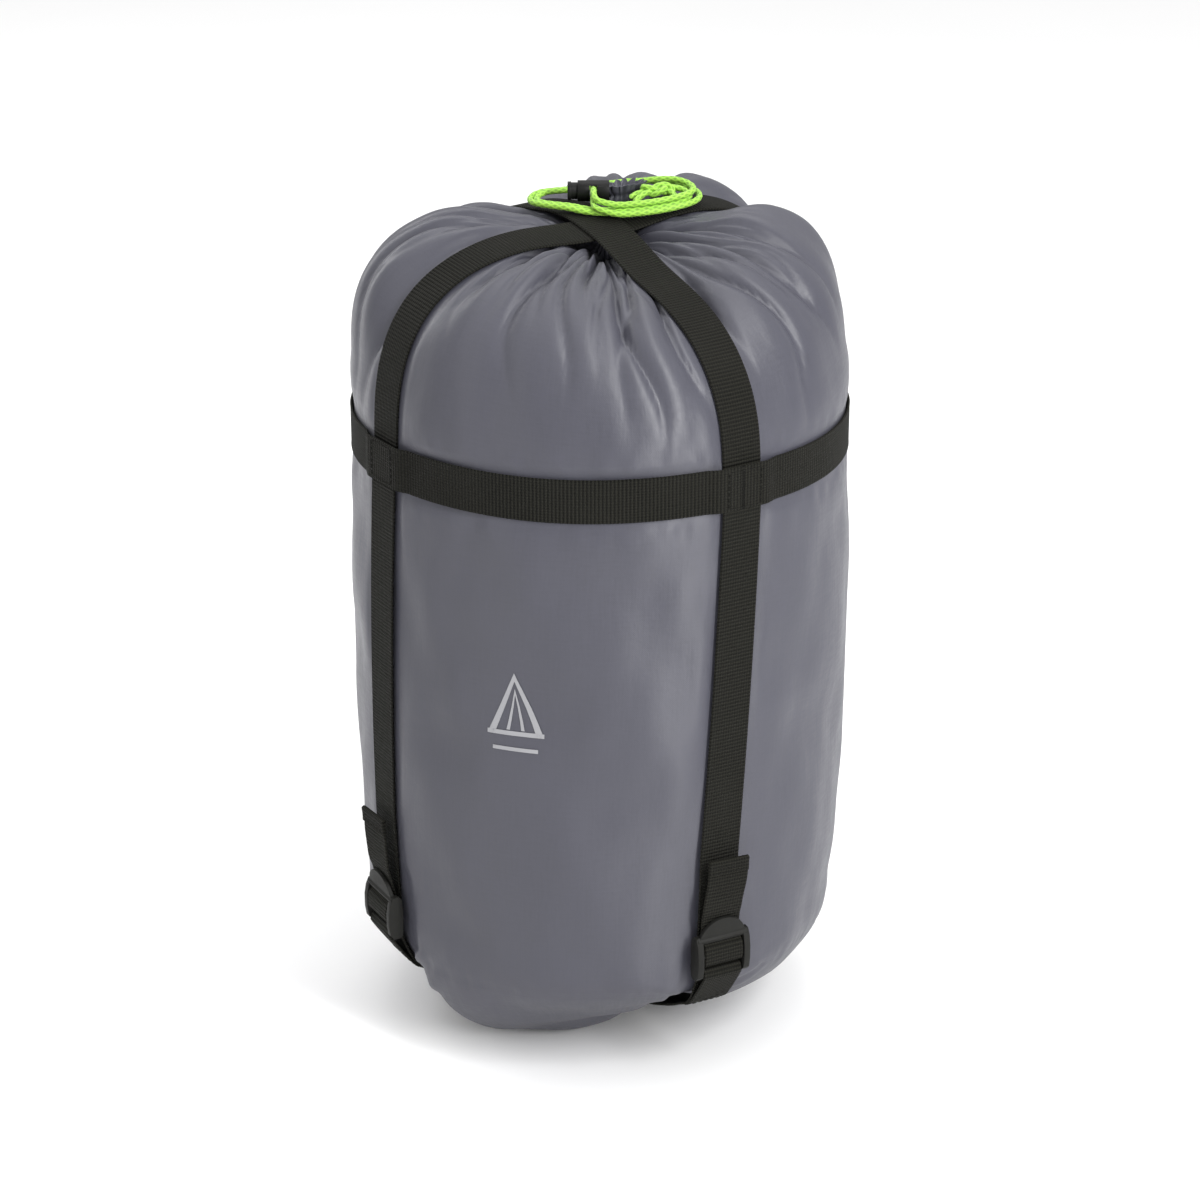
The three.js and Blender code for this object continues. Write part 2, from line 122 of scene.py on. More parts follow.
# ---- Surface of the sack ----
def wall_radius(z):
    z = np.asarray(z, float)
    low = BASE_RADIUS - BASE_ROUND + np.sqrt(np.clip(BASE_ROUND**2 - (BASE_ROUND - z) ** 2, 0, None))
    t = (z - BASE_ROUND) / (RING_HEIGHT - BASE_ROUND)
    control = RING_RADIUS + WALL_BULGE
    high = BASE_RADIUS * (1 - t) ** 2 + 2 * control * t * (1 - t) + RING_RADIUS * t**2
    return np.where(z < BASE_ROUND, low, high)


def lift(x, y, z):
    """How much higher than a round crown the real one is."""
    radius = np.hypot(x, y)
    direction = np.arctan2(x, -y)
    inner = radius / (radius**4 + LIFT_RADIUS**4) ** 0.25
    climb = np.clip((z - RING_HEIGHT) / CROWN_RISE / 0.85, 0, 1)
    tilt = CROWN_TILT * inner * np.cos(direction - TILT_TOWARDS)
    saddle = -CROWN_SADDLE * inner**2 * np.cos(2 * direction)
    return np.sin(climb * math.pi / 2) * (tilt + saddle)


def round_crown(x, y):
    """Height of the crown before it is lifted."""
    across = np.clip(np.hypot(x, y) / RING_RADIUS, 0, 1)
    return RING_HEIGHT + CROWN_RISE * (1 - across**CROWN_POWER) ** (1 / CROWN_POWER)


def crown_height(x, y):
    z = round_crown(x, y)
    return z + lift(x, y, z)


def crown_profile(t, offset=0):
    """Radius and height of the crown before it is lifted: t is 0 at the ring strap and 1 on the axis."""
    t = np.asarray(t, float)
    across = np.cos(t * math.pi / 2).clip(0) ** (2 / CROWN_POWER)
    up = np.sin(t * math.pi / 2) ** (2 / CROWN_POWER)
    out, rise = across**2 / RING_RADIUS, up**2 / CROWN_RISE
    size = np.hypot(out, rise)
    radius = np.maximum(RING_RADIUS * across + out / size * offset, 0)
    return radius, RING_HEIGHT + CROWN_RISE * up + rise / size * offset


# ---- Materials ----
class Look:
    """A Principled material and short ways to add nodes to it."""

    def __init__(self, name, color, roughness, **sockets):
        self.material = bpy.data.materials.new(name)
        self.material.use_nodes = True
        self.tree = self.material.node_tree
        self.shader = self.tree.nodes["Principled BSDF"]
        self.set(self.shader, "Base Color", (*color, 1))
        self.set(self.shader, "Roughness", roughness)
        for socket, value in sockets.items():
            self.set(self.shader, socket.replace("_", " "), value)

    def set(self, node, socket, value):
        if isinstance(value, bpy.types.NodeSocket):
            self.tree.links.new(value, node.inputs[socket])
        else:
            node.inputs[socket].default_value = value

    def node(self, kind, settings=None, **inputs):
        made = self.tree.nodes.new("ShaderNode" + kind)
        for key, value in (settings or {}).items():
            setattr(made, key, value)
        for socket, value in inputs.items():
            self.set(made, int(socket[1:]) if socket[0] == "_" else socket.replace("_", " "), value)
        return made

    def math(self, operation, a, b=0.0, c=0.0):
        return self.node("Math", {"operation": operation}, _0=a, _1=b, _2=c).outputs[0]

    def ripple(self, value, pitch):
        """A sine wave along a coordinate in metres."""
        return self.math("SINE", self.math("MULTIPLY", value, 2 * math.pi / pitch))

    def place(self):
        return self.node("TexCoord").outputs["Object"]

    def lie(self):
        """Metres across and along the cloth, from the mesh's own lie attribute."""
        return self.node("Attribute", {"attribute_name": "lie"}).outputs["Vector"]

    def noise(self, vector, scale, detail=3.0, roughness=0.55, stretch=None):
        if stretch:
            vector = self.node("Mapping", _0=vector, Scale=stretch).outputs[0]
        made = self.node("TexNoise", Vector=vector, Scale=scale, Detail=detail, Roughness=roughness)
        return made.outputs["Fac"]

    def between(self, value, low, high, to_low=0.0, to_high=1.0):
        made = self.node("MapRange", _0=value)
        for socket, number in zip(("From Min", "From Max", "To Min", "To Max"), (low, high, to_low, to_high)):
            self.set(made, socket, number)
        return made.outputs[0]

    def mottle(self, value, low, high, a, b, most=1.0):
        """Color a below the low value, turning to b by the high one."""
        made = self.node("Mix", {"data_type": "RGBA"}, _0=self.between(value, low, high, 0.0, most))
        for socket, color in ((6, a), (7, b)):
            self.set(made, socket, color if isinstance(color, bpy.types.NodeSocket) else (*color, 1))
        return made.outputs[2]

    def color(self, value):
        self.set(self.shader, "Base Color", value)

    def bump(self, height, strength, distance, under=None):
        made = self.node("Bump", Height=height, Strength=strength, Distance=distance)
        if under:
            self.set(made, "Normal", under)
        return made.outputs[0]

    def normal(self, value):
        self.set(self.shader, "Normal", value)


FABRIC_COLOR = (0.056, 0.056, 0.072)
WEAVE_PITCH = 0.0011  # metres, as are the next two
RIB_PITCH = 0.0021
CELL_PITCH = 0.0016


def tinted(color, share):
    return tuple(c * share for c in color)


def taffeta(name):
    """Satin polyester: fine plain weave with slubs both ways and a soft sheen."""
    look = Look(name, FABRIC_COLOR, 0.4, Sheen_Weight=0.04, Sheen_Roughness=0.5, Specular_IOR_Level=0.5,
                Anisotropic=0.8, Anisotropic_Rotation=0.25)
    round_way = look.node("Tangent", {"direction_type": "RADIAL", "axis": "Z"})
    look.set(look.shader, "Tangent", round_way.outputs[0])
    lie, place = look.lie(), look.place()
    weft = look.noise(lie, 620, 2, 0.6, (0.14, 1, 1))
    warp = look.noise(lie, 560, 2, 0.6, (1, 0.10, 1))
    cloud = look.noise(place, 9, 4, 0.6)
    threads = look.math("ADD", look.math("MULTIPLY", weft, 0.5), look.math("MULTIPLY", warp, 0.5))
    woven = look.mottle(threads, 0.36, 0.64, tinted(FABRIC_COLOR, 0.93), tinted(FABRIC_COLOR, 1.07))
    look.color(look.mottle(cloud, 0.35, 0.7, woven, tinted(FABRIC_COLOR, 1.12), 0.35))
    look.set(look.shader, "Roughness", look.between(threads, 0.3, 0.7, 0.4, 0.56))
    x, y = look.node("SeparateXYZ", _0=lie).outputs[:2]
    weave = look.math("MULTIPLY", look.ripple(x, WEAVE_PITCH), look.ripple(y, WEAVE_PITCH))
    fine = look.bump(weave, 0.12, 0.0001)
    crumple = look.noise(place, 55, 5, 0.6)
    drawn = look.noise(place, 42, 4, 0.55, (1, 1, 0.16))
    rumpled = look.bump(drawn, 0.14, 0.003, look.bump(threads, 0.25, 0.0003, fine))
    look.normal(look.bump(crumple, 0.2, 0.0016, rumpled))
    return look.material


def webbing(name, standing=False):
    """Ribbed polypropylene webbing, with painted shade in the valleys between its ribs and painted light on
    their crests. Standing webbing takes its ribs from its height, so that it can grow.
    """
    look = Look(name, (0.009, 0.009, 0.0065), 0.8, Specular_IOR_Level=0.15)
    lie, place = look.lie(), look.place()
    across, along = look.node("SeparateXYZ", _0=lie).outputs[:2]
    if standing:
        along = look.node("SeparateXYZ", _0=place).outputs[2]
    ribs = look.math("MULTIPLY", look.ripple(along, RIB_PITCH), 0.7)
    cells = look.math("MULTIPLY", look.ripple(across, CELL_PITCH), 0.3)
    grid = look.math("ADD", ribs, cells)
    fuzz = look.noise(place, 900, 3, 0.7)
    # Painted shade and light: the colour darkens into the valleys between the ribs and lightens on their
    # crests, following the bump.
    rib_painted_shade = look.mottle(grid, -0.9, 0.9, (0.003, 0.003, 0.0022), (0.0145, 0.0142, 0.0105))
    look.color(look.mottle(look.noise(place, 30, 4), 0.45, 0.8, rib_painted_shade, (0.019, 0.0186, 0.015), 0.25))
    look.normal(look.bump(grid, 0.9, 0.0005, look.bump(fuzz, 0.35, 0.0002)))
    return look.material


def moulded(name, color, roughness):
    """Moulded plastic with a fine spark-eroded grain and rubbed patches."""
    look = Look(name, color, roughness, Specular_IOR_Level=0.14)
    place = look.place()
    grain = look.noise(place, 1600, 2, 0.5)
    patch = look.noise(place, 90, 4, 0.6)
    look.color(look.mottle(patch, 0.3, 0.75, color, tinted(color, 1.5)))
    look.set(look.shader, "Roughness", look.between(patch, 0.25, 0.75, roughness - 0.07, roughness + 0.1))
    look.normal(look.bump(grain, 0.35, 0.00012))
    return look.material


def braided(name):
    """Lime polyester braid. The strands themselves are in the mesh, with painted shade darkening the grooves
    between them.
    """
    look = Look(name, (0.30, 0.62, 0.06), 0.65, Sheen_Weight=0.1)
    relief = look.node("Attribute", {"attribute_name": "relief"}).outputs["Fac"]
    # Painted shade: the colour darkens where the strands' relief is low, in the grooves between them.
    strand = look.mottle(relief, 0.0, 0.8, (0.12, 0.28, 0.015), (0.31, 0.62, 0.055))
    fibre = look.noise(look.lie(), 2600, 2, 0.6, (1, 0.25, 1))
    look.color(look.mottle(fibre, 0.3, 0.8, strand, (0.40, 0.70, 0.11), 0.35))
    look.normal(look.bump(look.noise(look.place(), 1500, 2), 0.3, 0.0002))
    return look.material


def thread(name, color):
    """Bonded sewing thread, with a painted highlight: lighter on its twist's crests."""
    look = Look(name, color, 0.75, Specular_IOR_Level=0.12)
    twist = look.noise(look.place(), 2400, 2)
    # Painted highlight: the colour is lighter where the twist's bump stands highest.
    look.color(look.mottle(twist, 0.3, 0.7, color, tinted(color, 2.1)))
    look.normal(look.bump(twist, 0.4, 0.0001))
    return look.material


def printed(name, color):
    """Screen print: thin ink that lets the weave show."""
    look = Look(name, color, 0.55)
    speckle = look.noise(look.lie(), 900, 3, 0.6)
    look.color(look.mottle(speckle, 0.62, 0.8, color, (0.19, 0.19, 0.21)))
    look.normal(look.bump(look.noise(look.place(), 700, 3), 0.25, 0.0002))
    return look.material


def steel(name):
    """Bright drawn wire."""
    look = Look(name, (0.6, 0.6, 0.62), 0.28, Metallic=1.0)
    drawn = look.noise(look.place(), 1200, 3)
    look.set(look.shader, "Roughness", look.between(drawn, 0.2, 0.8, 0.2, 0.42))
    return look.material


FABRIC = taffeta("sack_fabric")
WEBBING = webbing("webbing")
STANDING_WEBBING = webbing("standing_webbing", standing=True)
BUCKLE = moulded("buckle_plastic", (0.010, 0.010, 0.009), 0.5)
LOCK = moulded("lock_plastic", (0.008, 0.008, 0.008), 0.4)
BRAID = braided("drawcord")
THREAD = thread("stitching", (0.007, 0.007, 0.006))
PRINT = printed("print_ink", (0.28, 0.28, 0.295))
STEEL = steel("spring_steel")


# ---- Making meshes ----
def mesh_object(name, points, faces, material, **attributes):
    """A smooth mesh from millimetre points. Attributes are one number or one vector for each point."""
    mesh = bpy.data.meshes.new(name)
    mesh.from_pydata((np.asarray(points, float).reshape(-1, 3) * MM).tolist(), [], faces)
    for key, values in attributes.items():
        values = np.asarray(values, np.float32)
        kind, field = ("FLOAT", "value") if values.ndim == 1 else ("FLOAT_VECTOR", "vector")
        mesh.attributes.new(key, kind, "POINT").data.foreach_set(field, values.ravel())
    mesh.materials.append(material)
    mesh.validate()
    mesh.shade_smooth()
    made = bpy.data.objects.new(name, mesh)
    bpy.context.scene.collection.objects.link(made)
    return made


def grid_faces(rows, columns, closed=False):
    """Quads over a grid of points. Closed joins the last column to the first."""
    faces = []
    for r in range(rows - 1):
        for c in range(columns if closed else columns - 1):
            low, high = r * columns, (r + 1) * columns
            beside = (c + 1) % columns
            faces.append((low + c, low + beside, high + beside, high + c))
    return faces


def loop_faces(rows, columns, shift=0):
    """A grid closed both ways. Shift is how many columns the last row is turned from the first."""
    last = (rows - 1) * columns
    faces = grid_faces(rows, columns, closed=True)
    for c in range(columns):
        beside = (c + 1) % columns
        faces.append((last + c, last + beside, (c + 1 + shift) % columns, (c + shift) % columns))
    return faces


def capped_faces(rows, columns, flipped=False):
    """A grid closed round its columns, with a cap on its first and last rows."""
    last = (rows - 1) * columns
    caps = [tuple(range(columns)), tuple(range(last + columns - 1, last - 1, -1))]
    return grid_faces(rows, columns, closed=True) + [cap[::-1] if flipped else cap for cap in caps]


def flat_lie(across, along):
    """Metres across and along a grid of points, from millimetres."""
    return np.stack(np.broadcast_arrays(across, along, 0.0), -1).reshape(-1, 3) * MM


def distance_along(path):
    """How far along a path each of its points lies."""
    return np.concatenate([[0], np.cumsum(np.linalg.norm(np.diff(path, axis=0), axis=1))])


def curve_through(points, spacing):
    """A smooth line through points, with evenly spaced points on it, and its distances."""
    points = np.asarray(points, float)
    ends = np.vstack([2 * points[0] - points[1], points, 2 * points[-1] - points[-2]])
    fine = []
    t = np.linspace(0, 1, 24, endpoint=False)[:, None]
    for a, b, c, d in zip(ends[:-3], ends[1:-2], ends[2:-1], ends[3:]):
        bend, rest = 2 * a - 5 * b + 4 * c - d, 3 * b - a - 3 * c + d
        fine.append(0.5 * (2 * b + (c - a) * t + bend * t**2 + rest * t**3))
    fine = np.vstack([*fine, points[-1:]])
    gone = distance_along(fine)
    count = max(int(round(gone[-1] / spacing)), 2)
    even = np.linspace(0, gone[-1], count + 1)
    return np.stack([np.interp(even, gone, fine[:, k]) for k in range(points.shape[1])], -1), even


def unit(vectors):
    return vectors / np.linalg.norm(vectors, axis=-1, keepdims=True)


def side_frames(path):
    """Unit vectors square to a path, carried along it without twisting."""
    ahead = unit(np.gradient(path, axis=0))
    side = np.cross(ahead[0], [0, 0, 1.0])
    if np.linalg.norm(side) < 0.1:
        side = np.cross(ahead[0], [0, 1.0, 0])
    sides = []
    for step in ahead:
        side = unit(side - np.dot(side, step) * step)
        sides.append(side)
    sides = np.array(sides)
    return sides, np.cross(ahead, sides)


def rounded_ends(gone, radius):
    """Radius along a cord, rounded off at both ends."""
    near = np.minimum(gone, gone[-1] - gone)
    left = np.clip(1 - near / radius, 0, 0.97)
    return radius * np.sqrt(1 - left**2)


def tube_points(path, reach, sides):
    """Rings of points round a path. Reach is one number for each point."""
    first, second = side_frames(path)
    angle = np.linspace(0, 2 * math.pi, sides, endpoint=False)
    around = np.cos(angle)[None, :, None] * first[:, None] + np.sin(angle)[None, :, None] * second[:, None]
    return path[:, None] + reach[..., None] * around


BRAID_STARTS = 4  # strands each way
BRAID_LAY = 5.2  # length in which a strand passes to its neighbour's place
BRAID_SIDES = 24


def braid_tube(name, path, rounded=False, closed=False):
    """A braided cord along a path of millimetre points, with its strands in the mesh."""
    gone = distance_along(path)
    radius = rounded_ends(gone, CORD / 2) if rounded else np.full(len(path), CORD / 2)
    angle = np.linspace(0, 2 * math.pi, BRAID_SIDES, endpoint=False)
    turn = BRAID_STARTS * angle[None, :]
    run = 2 * math.pi * gone[:, None] / BRAID_LAY
    relief = np.maximum(np.cos(turn + run), np.cos(turn - run)).clip(0)
    points = tube_points(path, radius[:, None] * (0.92 + 0.1 * relief), BRAID_SIDES)
    if closed:
        shift = np.argmin(np.linalg.norm(points[0] - points[-1, 0], axis=1))
        faces = loop_faces(len(path), BRAID_SIDES, int(shift))
    else:
        faces = capped_faces(len(path), BRAID_SIDES)
    lie = flat_lie(angle[None, :] * CORD / 2, gone[:, None])
    return mesh_object(name, points, faces, BRAID, relief=relief.ravel(), lie=lie)


# ---- Camera ----
VIEW_AZIMUTH = math.radians(-28.5)
VIEW_ELEVATION = math.radians(21.63)
VIEW_DISTANCE = 1.988  # metres
VIEW_AIM = Vector((0, 0, 0.253))
LENS = 101.8


def heading(azimuth, elevation):
    """Unit vector from the sack towards a direction."""
    flat = math.cos(elevation)
    return Vector((math.sin(azimuth) * flat, -math.cos(azimuth) * flat, math.sin(elevation)))


def aimed(made, place, target):
    made.location = place
    made.rotation_euler = (target - place).to_track_quat("-Z", "Y").to_euler()
    bpy.context.scene.collection.objects.link(made)
    return made


def add_camera():
    """At the photograph's angle."""
    data = bpy.data.cameras.new("camera")
    data.lens = LENS
    data.sensor_width = 36
    place = VIEW_AIM + VIEW_DISTANCE * heading(VIEW_AZIMUTH, VIEW_ELEVATION)
    bpy.context.scene.camera = aimed(bpy.data.objects.new("camera", data), place, VIEW_AIM)


add_camera()

# ---- Drawcord: two strands from the mouth, through the cord lock, round the coil and into the knot ----
LANE_PITCH = 3.6
OUTER_LANE = (48.2, 25.2)  # half length and half width of the coil's outermost line
LOW_LAYER = OVER_STRAPS + CORD / 2
HIGH_LAYER = LOW_LAYER + 3.6
UNDER_LEADS = LOW_LAYER - 1.5
UPPER_LENGTH = 0.306  # metres, from the mouth into the knot
LOWER_LENGTH = 0.352
CORD_STEP = 0.6  # between the rings of its mesh


def from_coil(u, v):
    """From the coil's own axes to the crown's."""
    u, v = np.asarray(u, float), np.asarray(v, float)
    return turned(np.stack([u, v, 0 * u], -1), COIL_TURN)[..., :2] + COIL_CENTRE


lock_xy = from_coil(*LOCK_AT)
LOCK_HEIGHT = float(crown_height(*lock_xy)) + OVER_STRAPS + LOCK_RADIUS


def over_crown(u, v, height):
    """A point in the coil's axes at a height over the crown, in the row frame and in millimetres."""
    x, y = np.moveaxis(from_coil(u, v), -1, 0)
    return turned(np.stack([x, y, crown_height(x, y) + height], -1), TWIST)


def at_lock(u, v, height):
    """The same at a height over the lock's axis."""
    x, y = np.moveaxis(from_coil(u, v), -1, 0)
    return turned(np.stack([x, y, LOCK_HEIGHT + np.asarray(height, float) + 0 * x], -1), TWIST)


def lead(level):
    """From the mouth through the lock to the coil's inner edge, one strand over the other."""
    u, v = LOCK_AT
    start = MOUTH_AT[0] - MOUTH_HALF[0] * 1.09 - 3 * GAP
    bend = start - u
    low = 1.2 * level
    route = [
        (start + 1, MOUTH_AT[1], low - 4.6), (start - 0.45 * bend, MOUTH_AT[1] - 0.3 * bend, low - 2.6),
        (u + 0.06 * bend, MOUTH_AT[1] - bend, level - 0.5), (u, v + LOCK_RADIUS, level), (u, v, level),
        (u, v - LOCK_RADIUS, level), (u, v - 2 * LOCK_RADIUS, level),
    ]
    return at_lock(*np.array(route).T)


def on_lane(lane, degrees, height):
    """A point of the coil: lane 0 is the outermost."""
    angle = np.radians(degrees)
    u = (OUTER_LANE[0] - LANE_PITCH * lane) * np.cos(angle)
    v = (OUTER_LANE[1] - LANE_PITCH * lane) * np.sin(angle)
    return over_crown(u, v, height)


def strand(level, lane, first_height, joining, leaving, last):
    """One strand: its lead, its way onto its lane, just over one turn of the coil, and its way into the knot.

    On its turn it drops to the low layer, rises over the back strap and dips under the leads.
    """
    angle = np.arange(-88, last + 1, 14.0)
    lanes = lane + smooth(angle, 170, 235)
    height = LOW_LAYER + (first_height - LOW_LAYER) * (1 - smooth(angle, 30, 85))
    height += 2.6 * bell(angle, 152, 26)
    height -= (LOW_LAYER - UNDER_LEADS) * bell(angle, 256, 13)
    points = [lead(level), over_crown(*np.array(joining).T), on_lane(lanes, angle, height)]
    points.append(over_crown(*np.array(leaving).T))
    return curve_through(np.vstack(points), CORD_STEP)[0]


upper_path = strand(
    CORD / 2 + 0.2, 1, HIGH_LAYER,
    [(-11.2, -18.0, 12.6), (-8.2, -21.0, 11.6)],
    [(26, -15, 6.4), (32, -11.6, 6.6), (33.8, -6.2, 7.0), (31, -1.8, 7.4), (26, -0.4, 7.6)], 296)
lower_path = strand(
    -CORD / 2 - 0.2, 0, LOW_LAYER,
    [(-11.8, -19.0, 8.6), (-9.6, -23.2, 8.3)],
    [(40.9, -7.6, 6.5), (42.2, -1.8, 6.8), (38.6, 3.6, 7.2), (32.6, 4.6, 7.6), (27, 1.8, 7.8)], 326)


def knot_path():
    """An overhand knot pulled up small."""
    t = np.linspace(0, 2 * math.pi, 120, endpoint=False)
    reach = np.array(KNOT_HALF) - CORD / 2 + 0.2
    x = (np.sin(t) + 2 * np.sin(2 * t)) / 2.6 * reach[0]
    y = (np.cos(t) - 2 * np.cos(2 * t)) / 2.9 * reach[1]
    z = -np.sin(3 * t) * reach[2]
    return over_crown(KNOT_AT[0] + x, KNOT_AT[1] + y, OVER_STRAPS + KNOT_HALF[2] + z)


def add_cords():
    knot = braid_tube("drawcord_knot", knot_path(), closed=True)
    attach(knot, "top")
    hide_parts("cord_knot")
    for name, route in (
        ("drawcord_tip_a", [(22, 1, 7.6), (17, 0.2, 7.0), (12, -1.6, 6.0), (8.6, -4.4, 5.4)]),
        ("drawcord_tip_b", [(21, -2, 7.8), (16.6, -4.0, 7.0), (13, -7.4, 5.8), (11, -10.6, 5.2)]),
    ):
        path, _ = curve_through(over_crown(*np.array(route).T), CORD_STEP)
        tip = braid_tube(name, path, rounded=True)
        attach(tip, "top")
    for name, path, length, nodes in (
        ("drawcord_upper", upper_path, UPPER_LENGTH, ["cord_lead_upper", "cord_coil"]),
        ("drawcord_lower", lower_path, LOWER_LENGTH, ["cord_lead_lower"]),
    ):
        cord = braid_tube(name, path)
        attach(cord, "top")
        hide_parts(*nodes)


add_cords()

# ---- The sack's fabric ----
COLUMNS = 384  # of fabric points, round the sack
HUG = 0.5  # fabric under a strap lies this far below the CAD surface
MOUTH = 0.35 * COIL_CENTRE  # the gathers run to the cinched mouth, under the crossed straps
SEAM_AT = 62  # seam between base and side
WALL_SWELL = 0.6  # between the risers
CROWN_SWELL = 4  # over the crown's shoulder, between the straps
# Where the shoulder is fuller still: direction in degrees, width in radians, height.
CROWN_SWELLS = [(75, 0.7, 10), (150, 0.6, 3), (-118, 0.45, 6)]
SWELL_RADIUS = (42, 92)  # from the axis, over which the shoulder's swell rises
SWELL_BESIDE = 36  # from a strap's middle to the swell's full height
LOBE_WIDTH = 26  # from a base strap's edge to the full height of a lobe
LOBE_FULLNESS = 3.4  # a higher power rises more steeply beside the strap
# The base's edge is drawn in round the front strap and stands out beside the left one.
SLACK = 14
SLACK_TOWARDS = math.radians(-16)
SLACK_WIDTH = 0.9
HEEL = 9
HEEL_TOWARDS = math.radians(-74)
HEEL_WIDTH = 0.36
# Hollows where the base hardly bears on the floor beside the front strap: x, y, depth and radius.
DENTS = [(40, -58, 13, 30), (-20, -66, 9, 26)]
# The crown's gathers, and the finer ones between them: how many, depths, lengths, widening per mm.
PLEATS = (38, (5.0, 11.0), (110, 235), (0.014, 0.042))
TUCKS = (72, (2.2, 5.5), (60, 170), (0.006, 0.018))
CREASE_SHARPNESS = 1.05
# Each fold beside a strap: height at the strap's edge, slope, height and half width of its ridge, length.
STRAP_TUCKS = [
    (58, 0.45, 1.8, 5.0, 46), (47, 0.75, -1.6, 4.0, 38), (36, 0.95, 1.8, 5.0, 40), (27, 0.5, -1.0, 3.5, 30),
]
SIM_STEP = 3  # one simulated point for this many of the grid's rows and columns
SIM_FRAMES = 22
SIM_CAP = 2.0  # the most that the simulation moves a point
LOOSENESS = 0.012  # share by which the simulated cloth is larger than its shape


def fabric_stations():
    """Rows from the middle of the base to the mouth: radius, height, and how far each is up the crown."""
    flat = [(r, 0.0, 0.0) for r in np.linspace(0.5, BASE_RADIUS - BASE_ROUND, 12)]
    bend = [
        (BASE_RADIUS - BASE_ROUND + BASE_ROUND * math.sin(a), BASE_ROUND * (1 - math.cos(a)), 0.0)
        for a in np.linspace(0, QUARTER, 48)[1:]
    ]
    side = [(float(wall_radius(z)), z, 0.0) for z in np.linspace(BASE_ROUND, RING_HEIGHT, 96)[1:]]
    steps = (1 - np.cos(math.pi * np.linspace(0, 1, 121)[1:-3])) / 2
    crown = [(*crown_profile(t), t) for t in steps]
    return np.array(flat + bend + side + crown, float)


def fabric_surface(stations, angle):
    """The undisplaced surface, before the crown's twist."""
    radius, z, t = (stations[:, k, None] for k in range(3))
    x, y = radius * np.sin(angle), -radius * np.cos(angle)
    pull = np.where(t > 0, (1 - radius / RING_RADIUS).clip(0) ** 2, 0)
    x, y = x + MOUTH[0] * pull, y + MOUTH[1] * pull
    height = np.where(t > 0, round_crown(x, y), z + 0 * x)
    return np.stack([x, y, height + np.where(t > 0, lift(x, y, height), 0)], -1)


def surface_normals(points):
    """Outward unit normals of a grid whose columns go round."""
    round_way = np.roll(points, -1, 1) - np.roll(points, 1, 1)
    return unit(np.cross(round_way, np.gradient(points, axis=0)) + 1e-12)


def waves(angle, z, sizes):
    """A gentle, seamless swell: sizes are (turns round the sack, wavelength up it, height, phase)."""
    return sum(h * np.cos(n * angle + 2 * math.pi * z / up + p) for n, up, h, p in sizes)


def angle_between(angle, other):
    return (angle - other + math.pi) % (2 * math.pi) - math.pi


def near_angle(angle, middle, width):
    """1 at a direction, falling to 0 away from it."""
    return bell(angle_between(angle, middle), 0, width)


def lobe(distance):
    """Share of the base's full depth at a distance from a base strap's middle."""
    u = ((distance - HALF_WEB - 0.8) / LOBE_WIDTH).clip(0, 1)
    return 1 - (1 - u) ** LOBE_FULLNESS


def strap_depth(stations):
    """How deep a base strap lies under each row of the base."""
    depth = np.zeros(len(stations))
    out, up = np.array(BASE_RUN, float).T
    flat = out <= BASE_RADIUS - BASE_ROUND
    edge = BASE_RADIUS - BASE_ROUND
    angle = np.arctan2(out[~flat] - edge, BASE_ROUND - up[~flat])
    deep = BASE_ROUND - np.hypot(out[~flat] - edge, BASE_ROUND - up[~flat])
    row_angle = np.arctan2(stations[:, 0] - edge, BASE_ROUND - stations[:, 1])
    on_flat = stations[:, 1] <= 0
    depth[on_flat] = np.interp(stations[on_flat, 0], out[flat], up[flat])
    bent = ~on_flat & (stations[:, 1] < BASE_ROUND)
    depth[bent] = np.interp(row_angle[bent], [0, *angle, QUARTER * 0.83], [up[flat][-1], *deep, 0])
    return depth[:, None]


def creases(angle, from_mouth, reach, count, depths, lengths, widths):
    """Sharp valleys running out from the mouth and dying away."""
    total = np.zeros((len(from_mouth), len(angle)))
    start = (np.arange(count) + CHANCE.uniform(-0.32, 0.32, count)) * 2 * math.pi / count
    gone = from_mouth[:, None]
    for first in start:
        depth, length, width = CHANCE.uniform(*depths), CHANCE.uniform(*lengths), CHANCE.uniform(*widths)
        bend, phase = CHANCE.uniform(-0.16, 0.16), CHANCE.uniform(0, 2 * math.pi)
        line = first + bend * (gone / 120) ** 1.3 + 0.035 * np.sin(gone / 17 + phase)
        sideways = np.abs(angle_between(angle[None, :], line)) * reach[:, None]
        wide = 1.2 + width * gone
        fade = smooth(gone, 2, 20) * (1 - smooth(gone, 0.35 * length, length))
        total -= depth * fade * np.exp(-((sideways / wide) ** CREASE_SHARPNESS))
    return total


def strap_tucks(x, y, z):
    """Folds that run up and away from both edges of each strap where it turns under the base."""
    total = np.zeros_like(x)
    for quarter in range(4):
        c, s = math.cos(quarter * QUARTER), math.sin(quarter * QUARTER)
        across, out = x * c + y * s, x * s - y * c
        for side in (-1, 1):
            along = side * across - HALF_WEB
            for up, slope, height, width, reach in STRAP_TUCKS:
                line = up + CHANCE.uniform(-4, 4) + slope * along
                ridge = CHANCE.uniform(0.5, 1.25) * height * bell(z, line, width)
                total += ridge * (out > 0) * smooth(along, 0, 7) * (1 - smooth(along, 0.3 * reach, reach))
    return total


WALL_WAVES = [
    (2, 310, 0.5, 0.6), (3, -190, 0.5, 2.1), (5, 150, 0.5, 4.0), (7, -230, 0.5, 1.2), (11, 120, 0.4, 5.1),
    (16, -400, 0.35, 0.4), (23, 90, 0.18, 3.3), (31, -140, 0.14, 2.2),
]
RING_WAVES = [(37, 60, 0.2, 0.3), (53, -45, 0.18, 1.9), (71, 40, 0.14, 4.2)]
SEAM_PUCKERS = [(58, 80, 0.16, 0.2), (83, -60, 0.12, 1.1), (109, 50, 0.1, 2.4)]


